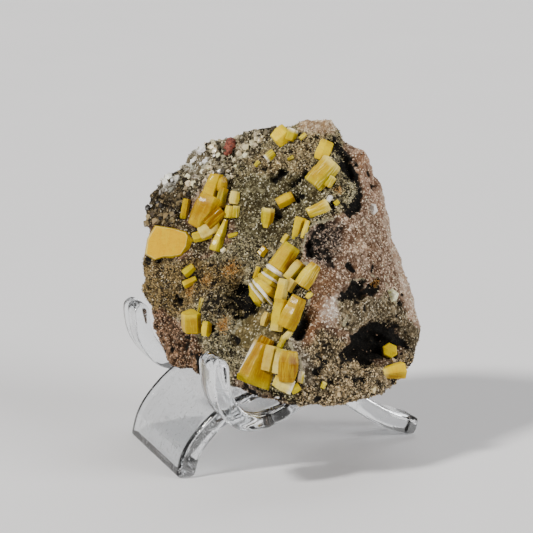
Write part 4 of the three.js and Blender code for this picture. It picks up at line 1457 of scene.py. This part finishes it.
def prismTones(prism, part, side, rng, ringCount):
    first, body, last = (crystalTones[name] for name in prism["tones"])
    tone = np.tile(body, (len(part), 1))
    if "sides" in prism:
        # painted light and shade across the prism, from its left side to its right
        leftTone, rightTone = (crystalTones[name] for name in prism["sides"])
        tone = leftTone + (rightTone - leftTone) * ease(side, -0.35, 0.65)[:, None]
    tone = tone + (first - tone) * ease(part, 0.3, 0.02)[:, None] * 0.8
    tone = tone + (last - tone) * ease(part, 0.72, 0.97)[:, None] * 0.85
    drift = 1 + (rng.random(6) - 0.5) * 2 * crystalShape["faceDrift"]
    perFace = np.repeat(drift, len(crystalShape["cuts"]))
    tone = tone * np.tile(perFace, ringCount)[:, None]
    # painted highlight: the edges of each face are painted paler
    cuts = crystalShape["cuts"]
    edge = np.tile([cut in (cuts[0], cuts[-1]) for cut in cuts], 6)
    pale = np.tile(edge, ringCount)[:, None] * crystalShape["edgeLight"]
    return tone + (crystalTones["pale"] - tone) * pale


def joinSkins(skins):
    points = []
    faces = []
    tones = []
    local = []
    for skinPoints, skinFaces, skinTones, skinLocal in skins:
        first = sum(len(part) for part in points)
        points.append(skinPoints)
        faces.extend(tuple(first + index for index in face) for face in skinFaces)
        tones.append(skinTones)
        local.append(skinLocal + len(local) * 7.3)
    return np.concatenate(points), faces, np.concatenate(tones), np.concatenate(local)


def crystalMaterial(name, gloss, frostiness, lineTone):
    settings = {
        "IOR": 1.5,
        "Specular IOR Level": 0.07,
        "Coat Weight": 0.1,
        "Coat Roughness": 0.1,
        "Subsurface Weight": 0.08,
        "Subsurface Radius": (1, 0.8, 0.2),
        "Subsurface Scale": 0.0007,
    }
    shader = Shader(name, settings)
    grow = shader.painted("growPlace", "Vector")
    lengthways = shader.vectors("MULTIPLY", grow, (3, 3, 0.3))
    crossways = shader.vectors("MULTIPLY", grow, (0.4, 0.4, 3.2))
    lines = shader.node("ShaderNodeTexNoise", None, {"Vector": lengthways, "Scale": 1, "Detail": 3})
    steps = shader.node("ShaderNodeTexNoise", None, {"Vector": crossways, "Scale": 1, "Detail": 2})
    cloud = shader.noise(1.1, 3, 0.6)
    fine = shader.noise(0.28, 3, 0.7)
    tone = shader.painted("crystalTone", "Color")
    deepened = shader.blend(shader.between(cloud, 0.45, 0.7) * 0.5, tone, colour(0.92, 0.82, 0.4), "MULTIPLY")
    lined = shader.blend(shader.between(lines, 0.52, 0.64) * frostiness, deepened, lineTone)
    bands = shader.between(steps, 0.55, 0.72) * 0.35
    banded = shader.blend(bands, lined, colour(0.86, 0.74, 0.35), "MULTIPLY")
    specked = shader.blend(shader.between(fine, 0.62, 0.8) * frostiness * 0.5, banded, lineTone)
    stained = shader.blend(shader.between(fine, 0.4, 0.25) * 0.4, specked, colour(0.52, 0.36, 0.06))
    shader.feed("Base Color", stained)
    shader.feed("Roughness", shader.between(fine, 0.3, 0.75) * 0.3 + gloss)
    shader.bump(lines * 0.8 + steps * 0.6 + fine * 0.4, 0.12, 0.8)
    return shader.material


def makeCrystals(tree):
    rng = np.random.default_rng(7)
    golden = crystalMaterial("goldenCrystal", 0.2, 0.3, crystalTones["pale"])
    pale = crystalMaterial("paleCrystal", 0.22, 0.6, crystalTones["cream"])
    recordSlots = {part["node"]: part["material_slot"] for part in frame["record"]["subparts"]}
    made = {}
    for name, prisms in crystals.items():
        skins = [prismSkin(prism, tree, rng, 50 + len(made)) for prism in prisms]
        points, faces, tones, local = joinSkins(skins)
        piece = makeMesh(name + "_grown", points, faces)
        piece.data.set_sharp_from_angle(angle=math.radians(24))
        paint(piece, "crystalTone", tones)
        paint(piece, "growPlace", local)
        slotName = recordSlots[name]
        made[name] = finishPiece(piece, pale if slotName == "pale_crystal" else golden, slotName, name)
    made["far_left_plate"] = makeFarLeftPlate(tree, golden)
    return made


def makeFarLeftPlate(tree, material):
    plate = farLeftPlate
    middle = np.mean(plate["outline"], axis=0)
    hits, _ = castAll(tree, [tuple(middle)])
    out = (hits[0] - aim) @ toward + plate["lift"]

    def ring(outline, depth):
        lean = [plate["tilt"] * (across - middle[0]) * display["unit"] for across, _ in outline]
        return [spot(across, down, out + tip + depth) for (across, down), tip in zip(outline, lean)]

    count = len(plate["outline"])
    outline = plate["outline"]
    face = np.array(plate["face"])
    inner = middle + (face - middle) * 0.95
    edge = face + (np.array(outline) - face) * 0.12
    bottom = middle + (np.array(outline) - middle) * 0.94
    rings = [ring(inner, 0.02), ring(face, 0), ring(edge, -0.12), ring(outline, -plate["bevelDepth"])]
    rings.append(ring(bottom, -plate["thick"]))
    points = np.array([point for part in rings for point in part])
    points += np.stack([softNoise(points, 1.6, 81 + k) for k in range(3)], axis=1) * 0.07
    faces = [tuple(reversed(range(count)))]
    for step in range(len(rings) - 1):
        for side in range(count):
            following = (side + 1) % count
            a = step * count + side
            b = step * count + following
            faces.append((a, b, b + count, a + count))
    faces.append(tuple(range(len(points) - count, len(points))))
    piece = makeMesh("far_left_plate_grown", points, faces)
    ringTones = [crystalTones[name] for name in ("tan", "cream", "bright", "golden", "golden")]
    paint(piece, "crystalTone", np.repeat(ringTones, count, axis=0))
    offset = points - points.mean(axis=0)
    paint(piece, "growPlace", np.stack([offset @ toward, offset @ right, offset @ up], axis=1))
    edges = piece.modifiers.new("edges", "BEVEL")
    edges.width = 0.00014
    edges.segments = 2
    edges.limit_method = "ANGLE"
    edges.harden_normals = True
    return finishPiece(piece, material, "golden_crystal", "far_left_plate")


rockTree = BVHTree.FromPolygons(rockPoints.tolist(), rockFaces)
crystalPieces = makeCrystals(rockTree)
print("crystals:", len(crystalPieces))

# Lumps of other minerals: balls joined into one lump [right, down, out of the rock, half width]
# in the display view, or a broken chip with flat faces
nodules = {
    "red_nodule": {
        "slot": "iron_nodule",
        "balls": [
            (230.5, 143, 0.5, 0.95), (232, 146, 0.3, 0.7), (228.5, 147.5, 0.4, 0.75), (229.5, 151, 0.3, 0.6),
            (226.5, 153.5, 0.2, 0.5),
        ],
        "voxel": 0.1,
        "rough": 0.14,
        "light": colour(0.62, 0.33, 0.25),
        "dark": colour(0.22, 0.07, 0.05),
    },
    "quartz_knob": {
        "slot": "quartz",
        "balls": [(330, 198, 0.3, 0.55), (328.5, 200, 0.2, 0.4)],
        "voxel": 0.1,
        "rough": 0.06,
        "light": colour(0.97, 0.96, 0.94),
        "dark": colour(0.70, 0.68, 0.62),
    },
    "quartz_chip_upper": {
        "slot": "quartz",
        "outline": [(364.5, 210), (371, 203.5), (375.5, 204), (378, 211), (374, 215), (367.5, 214)],
        "high": 0.9,
        "tilt": 0.09,
        "light": colour(1, 0.99, 0.97),
        "dark": colour(0.84, 0.8, 0.75),
    },
    "quartz_chip_lower": {
        "slot": "quartz",
        "outline": [(386, 290), (392, 288), (399, 293.5), (397, 300), (391, 303), (388, 299)],
        "high": 0.9,
        "tilt": 0.08,
        "light": colour(0.99, 0.99, 0.9),
        "dark": colour(0.8, 0.8, 0.52),
    },
}


def noduleMaterial(name, nodule, shine):
    shader = Shader(name + "Finish", {"IOR": 1.54, "Specular IOR Level": 0.4})
    patches = shader.noise(0.5, 3, 0.65)
    fine = shader.noise(0.16, 3, 0.7)
    share = shader.between(patches * 0.6 + fine * 0.4, 0.4, 0.6)
    shader.feed("Base Color", shader.blend(share, nodule["dark"], nodule["light"]))
    shader.feed("Roughness", shader.between(fine, 0.3, 0.7) * 0.4 + shine)
    shader.bump(patches * 0.5 + fine, 0.06, 0.8)
    return shader.material


def lumpSkin(nodule, tree, seed):
    ball = bmesh.new()
    bmesh.ops.create_icosphere(ball, subdivisions=3, radius=1)
    ballPoints = np.array([vertex.co[:] for vertex in ball.verts])
    ballFaces = [tuple(vertex.index for vertex in face.verts) for face in ball.faces]
    ball.free()
    points = []
    faces = []
    for across, down, out, half in nodule["balls"]:
        hits, _ = castAll(tree, [(across, down)])
        first = len(points) * len(ballPoints)
        points.append(ballPoints * half + hits[0] + toward * out)
        faces.extend(tuple(first + index for index in face) for face in ballFaces)
    points, faces = remesh(np.concatenate(points), faces, nodule["voxel"])
    points = relax(points, faces, 2)
    normals = pointNormals(points, faces)
    first, _, own = grainNoise(points, 0.55, seed)
    return points + normals * ((0.6 - first) * (0.5 + own) * nodule["rough"] * 2)[:, None], faces


def chipSkin(nodule, tree, rng):
    outline = np.array(nodule["outline"], dtype=float)
    middle = outline.mean(axis=0)
    hits, _ = castAll(tree, [tuple(middle)])
    base = (hits[0] - aim) @ toward
    corners = [spot(*place, base - 0.5) for place in outline]
    corners += [spot(*(middle + (place - middle) * 0.92), base + rng.uniform(0.1, 0.3)) for place in outline]
    for place in outline:
        inside = middle + (place - middle) * rng.uniform(0.35, 0.6)
        high = nodule["high"] * rng.uniform(0.7, 1) + (place[0] - middle[0]) * nodule["tilt"]
        corners.append(spot(*inside, base + high))
    chip = bmesh.new()
    for corner in corners:
        chip.verts.new(corner)
    hull = bmesh.ops.convex_hull(chip, input=chip.verts)
    spare = set(hull["geom_interior"]) | set(hull["geom_unused"])
    loose = [item for item in spare if isinstance(item, bmesh.types.BMVert)]
    bmesh.ops.delete(chip, geom=loose, context="VERTS")
    bmesh.ops.bevel(chip, geom=chip.edges[:], offset=0.05, segments=1, affect="EDGES", profile=0.5)
    bmesh.ops.recalc_face_normals(chip, faces=chip.faces)
    chip.verts.index_update()
    points = np.array([vertex.co[:] for vertex in chip.verts])
    faces = [tuple(vertex.index for vertex in face.verts) for face in chip.faces]
    chip.free()
    return points, faces


def makeNodules(tree):
    rng = np.random.default_rng(19)
    for number, (name, nodule) in enumerate(nodules.items()):
        if "balls" in nodule:
            points, faces = lumpSkin(nodule, tree, 90 + number)
        else:
            points, faces = chipSkin(nodule, tree, rng)
        piece = makeMesh(name + "_grown", points, faces, smooth="balls" in nodule)
        shine = 0.5 if name == "red_nodule" else 0.12
        finishPiece(piece, noduleMaterial(name, nodule, shine), nodule["slot"], name)


makeNodules(rockTree)
print("nodules:", len(nodules))

# Grains grown on the rock: how many to a square mm of each kind of ground, their half width
# and length in mm, how far they lean, and how light they are (0 the gap colour, 1 the grain colour).
grainKinds = {
    "druse_needles": {
        "shape": "dart",
        "density": {
            "druse": 16, "upperCrust": 14, "tanCrust": 12, "smoothFloor": 5, "oliveFloor": 1.5,
            "greyLedge": 5, "pittedShade": 4, "greyGreenFloor": 2, "bottomGrains": 4, "darkMound": 13,
        },
        "half": (0.05, 0.11),
        "length": (0.22, 0.55),
        "sink": 0.08,
        "lean": 1.1,
        "light": (0, 1.3, 1.7),
        "most": 21000,
        "shine": 0.25,
    },
    "break_chips": {
        "shape": "chip",
        "density": {
            "pinkBreak": 5, "pinkRim": 4, "redBrown": 5, "whitePatch": 4, "pittedShade": 6,
            "greyGreenFloor": 3, "bottomGrains": 8, "brownLobe": 7, "underBreak": 5, "topRim": 6,
            "greySheet": 2, "rimFacet": 3, "brownTip": 4, "greyLedge": 3, "greyGrains": 4,
            "tanCrust": 5, "upperCrust": 4, "brokenBack": 1.1,
        },
        "half": (0.09, 0.24),
        "length": (0.14, 0.34),
        "sink": 0.08,
        "lean": 1.2,
        "light": (0, 1.25, 1.3),
        "most": 19000,
        "shine": 0.4,
    },
    "quartz_grains": {
        "shape": "block",
        "density": {
            "greyGrains": 1.2, "brownTip": 1.2, "whiteQuartz": 1.6, "leftQuartz": 1.6, "bottomGrains": 0.06,
            "greyLedge": 0.1,
        },
        "half": (0.24, 0.8),
        "length": (0.6, 1.25),
        "sink": 0.5,
        "lean": 1.1,
        "light": (0, 1.4, 1.5),
        "most": 1300,
        "shine": 0.12,
    },
}

# Fuzzy orange-brown growths: middle in the display view, reach in mm
tufts = [
    {"at": (230, 270), "reach": 2, "count": 260},
    {"at": (224, 326), "reach": 1.7, "count": 220},
    {"at": (191, 291), "reach": 1.5, "count": 150},
    {"at": (207, 280), "reach": 1.4, "count": 130},
    {"at": (374, 283), "reach": 1, "count": 90},
    {"at": (338, 190), "reach": 1, "count": 80},
]


def grainTemplate(shape):  # unit shapes: half width 1, from 0 to 1 along z
    if shape == "dart":
        ring = [(math.cos(turn), math.sin(turn), 0.3) for turn in (0, 1.6, 3.1, 4.7)]
        points = [(0, 0, 0), *ring, (0, 0, 1)]
    elif shape == "chip":
        turns = (0.2, 1.9, 3.3, 4.9)
        ring = [(math.cos(turn), math.sin(turn) * 0.8, 0.45 + 0.2 * math.cos(turn * 2)) for turn in turns]
        points = [(0.2, 0, 0), *ring, (-0.25, 0.15, 1)]
    else:
        low = [(1, 0.1, 0.15), (0.15, 0.9, 0.05), (-0.85, 0.2, 0.2), (-0.3, -0.8, 0.1), (0.55, -0.75, 0.2)]
        high = [(0.85, 0.2, 0.8), (0.1, 0.95, 0.9), (-0.9, 0.1, 0.7), (-0.25, -0.75, 0.95), (0.6, -0.6, 0.75)]
        points = [(0, 0, 0), *low, *high, (-0.1, 0.1, 1)]
        faces = []
        for side in range(5):
            a, b = 1 + side, 1 + (side + 1) % 5
            faces.extend([(0, b, a), (a, b, b + 5), (a, b + 5, a + 5), (a + 5, b + 5, 11)])
        return np.array(points), np.array(faces)
    faces = []
    for side in range(4):
        here, there = 1 + side, 1 + (side + 1) % 4
        faces.extend([(0, there, here), (here, there, 5)])
    return np.array(points), np.array(faces)


def growAt(template, roots, axes, half, length, spin):  # copies of a unit shape along the axes
    unitPoints, unitFaces = template
    aside = np.where(np.abs(axes[:, 2:]) > 0.9, np.array([[1.0, 0, 0]]), np.array([[0, 0, 1.0]]))
    first = unit(np.cross(axes, aside))
    second = np.cross(axes, first)
    turned = first * np.cos(spin)[:, None] + second * np.sin(spin)[:, None]
    across = np.cross(axes, turned)
    points = roots[:, None, :] + axes[:, None, :] * (unitPoints[None, :, 2:] * length[:, None, None])
    points = points + turned[:, None, :] * (unitPoints[None, :, :1] * half[:, None, None])
    points = points + across[:, None, :] * (unitPoints[None, :, 1:2] * half[:, None, None])
    step = np.arange(len(roots))[:, None, None] * len(unitPoints)
    return points.reshape(-1, 3), (unitFaces[None] + step).reshape(-1, 3)


def leanAway(normals, amount, rng):
    return unit(normals + rng.normal(0, 1, normals.shape) * amount * 0.5)


def scatterOnRock(kind, rng):  # roots of grains: where, which way is out, and the nearest point's number
    quads = np.array(rockFaces)
    corners = rockPoints[quads]
    area = np.linalg.norm(np.cross(corners[:, 2] - corners[:, 0], corners[:, 3] - corners[:, 1]), axis=1) / 2
    wanted = sum(rockShares[name][quads[:, 0]] * density for name, density in kind["density"].items())
    clumps = 0.55 + 0.9 * ease(softNoise(corners[:, 0], 1.5, 71), -0.5, 0.6)
    expected = area * wanted * clumps * (1 - rockShade[quads[:, 0]] * 0.85)
    count = int(min(expected.sum(), kind["most"]))
    chosen = rng.choice(len(quads), size=count, p=expected / expected.sum())
    mix = rng.random((count, 2))
    low = corners[chosen, 0] + (corners[chosen, 1] - corners[chosen, 0]) * mix[:, :1]
    high = corners[chosen, 3] + (corners[chosen, 2] - corners[chosen, 3]) * mix[:, :1]
    return low + (high - low) * mix[:, 1:], rockNormals[quads[chosen, 0]], quads[chosen, 0]


def grainMaterial(name, shine):
    shader = Shader(name, {"IOR": 1.5, "Specular IOR Level": 0.4})
    tone = shader.painted("grainColour", "Color")
    mottle = shader.noise(0.3, 2, 0.6)
    cloudy = shader.between(mottle, 0.4, 0.7) * 0.4
    shader.feed("Base Color", shader.blend(cloudy, tone, colour(0.62, 0.56, 0.44), "MULTIPLY"))
    shader.feed("Roughness", shader.between(mottle, 0.3, 0.8) * 0.4 + shine)
    shader.bump(mottle, 0.04, 0.6)
    return shader.material


def growGrains():
    for number, (name, kind) in enumerate(grainKinds.items()):
        rng = np.random.default_rng(100 + number)
        roots, normals, nearest = scatterOnRock(kind, rng)
        axes = leanAway(normals, kind["lean"], rng)
        half = rng.uniform(*kind["half"], len(roots))
        length = rng.uniform(*kind["length"], len(roots))
        template = grainTemplate(kind["shape"])
        roots = roots - normals * kind["sink"]
        spin = rng.random(len(roots)) * 6.3
        points, _ = growAt(template, roots, axes, half, length, spin)
        free = standGap(points).reshape(len(roots), -1).min(axis=1) > standShape["grainGap"]
        darkest, lightest, power = kind["light"]
        light = (darkest + (lightest - darkest) * rng.random(len(roots)) ** power)[:, None]
        tone = rockDark[nearest] + (rockLight[nearest] - rockDark[nearest]) * light
        tone = np.clip(tone * rng.uniform(0.96, 1.04, (len(roots), 3)), 0.004, 0.95)
        points, faces = growAt(template, roots[free], axes[free], half[free], length[free], spin[free])
        piece = makeMesh(name, points, faces, smooth=False)
        paint(piece, "grainColour", np.repeat(tone[free], len(template[0]), axis=0))
        finishPiece(piece, grainMaterial(name + "Finish", kind["shine"]), "matrix")
        print(name + ":", int(free.sum()))


def growTufts(tree):
    rng = np.random.default_rng(31)
    template = grainTemplate("dart")
    allPoints = []
    allFaces = []
    allTones = []
    first = 0
    rust = np.array([colour(0.85, 0.62, 0.3), colour(0.95, 0.82, 0.55), colour(0.6, 0.42, 0.18)])
    for tuft in tufts:
        hits, _ = castAll(tree, [tuft["at"]])
        near = np.linalg.norm(rockPoints - hits[0], axis=1)
        inside = np.flatnonzero(near < tuft["reach"])
        weight = 1.02 - near[inside] / tuft["reach"]
        chosen = rng.choice(inside, size=tuft["count"], p=weight / weight.sum())
        axes = leanAway(rockNormals[chosen], 1.5, rng)
        half = rng.uniform(0.04, 0.08, len(chosen))
        length = rng.uniform(0.3, 0.75, len(chosen))
        roots = rockPoints[chosen] - rockNormals[chosen] * 0.08
        points, faces = growAt(template, roots, axes, half, length, length)
        allPoints.append(points)
        allFaces.append(faces + first)
        allTones.append(np.repeat(rust[rng.integers(0, 3, len(chosen))], len(template[0]), axis=0))
        first += len(points)
    piece = makeMesh("rust_tufts", np.concatenate(allPoints), np.concatenate(allFaces), smooth=False)
    paint(piece, "grainColour", np.concatenate(allTones))
    finishPiece(piece, grainMaterial("rustTuft", 0.45), "matrix")


growGrains()
growTufts(rockTree)
print("grains grown")

# The stand's clear finish, with faint scratches

def acrylicMaterial():
    settings = {"Base Color": (0.955, 0.98, 1, 1), "Transmission Weight": 1, "IOR": 1.49}
    shader = Shader("clearAcrylic", settings)
    scratches = []
    for stretch in ((9, 0.5, 6), (0.6, 8, 5), (5, 6, 0.5)):
        place = shader.vectors("MULTIPLY", shader.place(), tuple(part * 260 for part in stretch))
        lines = shader.node("ShaderNodeTexNoise", None, {"Vector": place, "Scale": 1, "Detail": 2})
        scratches.append(shader.between(lines, 0.66, 0.72))
    scratch = scratches[0].atLeast(scratches[1]).atLeast(scratches[2])
    shader.feed("Roughness", scratch * 0.3 + shader.between(shader.noise(5, 3, 0.6), 0.3, 0.8) * 0.05 + 0.02)
    shader.bump(scratch * 0.5 + shader.noise(6, 2, 0.5) * 0.4, 0.05, 0.4)
    return shader.material


stand = makeMesh("clear_stand", standPoints, standFaces)
finishPiece(stand, acrylicMaterial(), "clear_acrylic", "display_stand")
print("stand:", len(standPoints), "points")

# Floor, lights and camera
studio = {
    "floorHalf": 3000,
    "floorTone": colour(0.94, 0.94, 0.95),
    "skyTone": colour(0.84, 0.83, 0.82),
    "skyStrength": 0.3,
    # each lamp: the way it stands from the rock (right, up, toward the viewer), strength,
    # and how wide it looks in degrees
    "lamps": {
        "keyLamp": {"way": (-300, 260, 240), "strength": 3.7, "wide": 9, "tone": (1, 0.97, 0.92)},
        "fillLamp": {"way": (370, 140, 230), "strength": 2.3, "wide": 30, "tone": (1, 0.99, 0.97)},
        "backLamp": {"way": (60, 380, -200), "strength": 0.9, "wide": 40, "tone": (1, 1, 1)},
    },
    "lens": 36 * display["distance"] / (533 * display["unit"]),
}


def lookAlong(piece, place, ahead):
    piece.location = Vector(place) * 0.001
    piece.rotation_mode = "QUATERNION"
    piece.rotation_quaternion = Vector(ahead).to_track_quat("-Z", "Y")


def makeStudio():
    half = studio["floorHalf"]
    corners = [(-half, -half, 0), (half, -half, 0), (half, half, 0), (-half, half, 0)]
    floor = makeMesh("floor", corners, [(0, 1, 2, 3)], smooth=False)
    shader = Shader("floorCard", {"Roughness": 0.55})
    cloudy = shader.noise(60, 2, 0.5)
    shader.feed("Base Color", shader.blend(cloudy, studio["floorTone"] * 0.96, studio["floorTone"]))
    floor.data.materials.append(shader.material)
    for name, lamp in studio["lamps"].items():
        light = bpy.data.lights.new(name, "SUN")
        light.angle = math.radians(lamp["wide"])
        light.energy = lamp["strength"]
        light.color = lamp["tone"]
        holder = bpy.data.objects.new(name, light)
        bpy.context.scene.collection.objects.link(holder)
        sideways, upward, outward = lamp["way"]
        place = right * sideways + up * upward + toward * outward
        lookAlong(holder, aim + place, -place)
    world = bpy.data.worlds.new("studioAir")
    world.use_nodes = True
    sky = world.node_tree.nodes["Background"]
    sky.inputs["Color"].default_value = (*studio["skyTone"], 1)
    sky.inputs["Strength"].default_value = studio["skyStrength"]
    bpy.context.scene.world = world
    lens = bpy.data.cameras.new("displayCamera")
    lens.lens = studio["lens"]
    lens.sensor_width = 36
    lens.clip_start = 0.01
    camera = bpy.data.objects.new("displayCamera", lens)
    bpy.context.scene.collection.objects.link(camera)
    lookAlong(camera, eye, -toward)
    bpy.context.scene.camera = camera


makeStudio()
print("studio done")

bpy.context.view_layer.update()
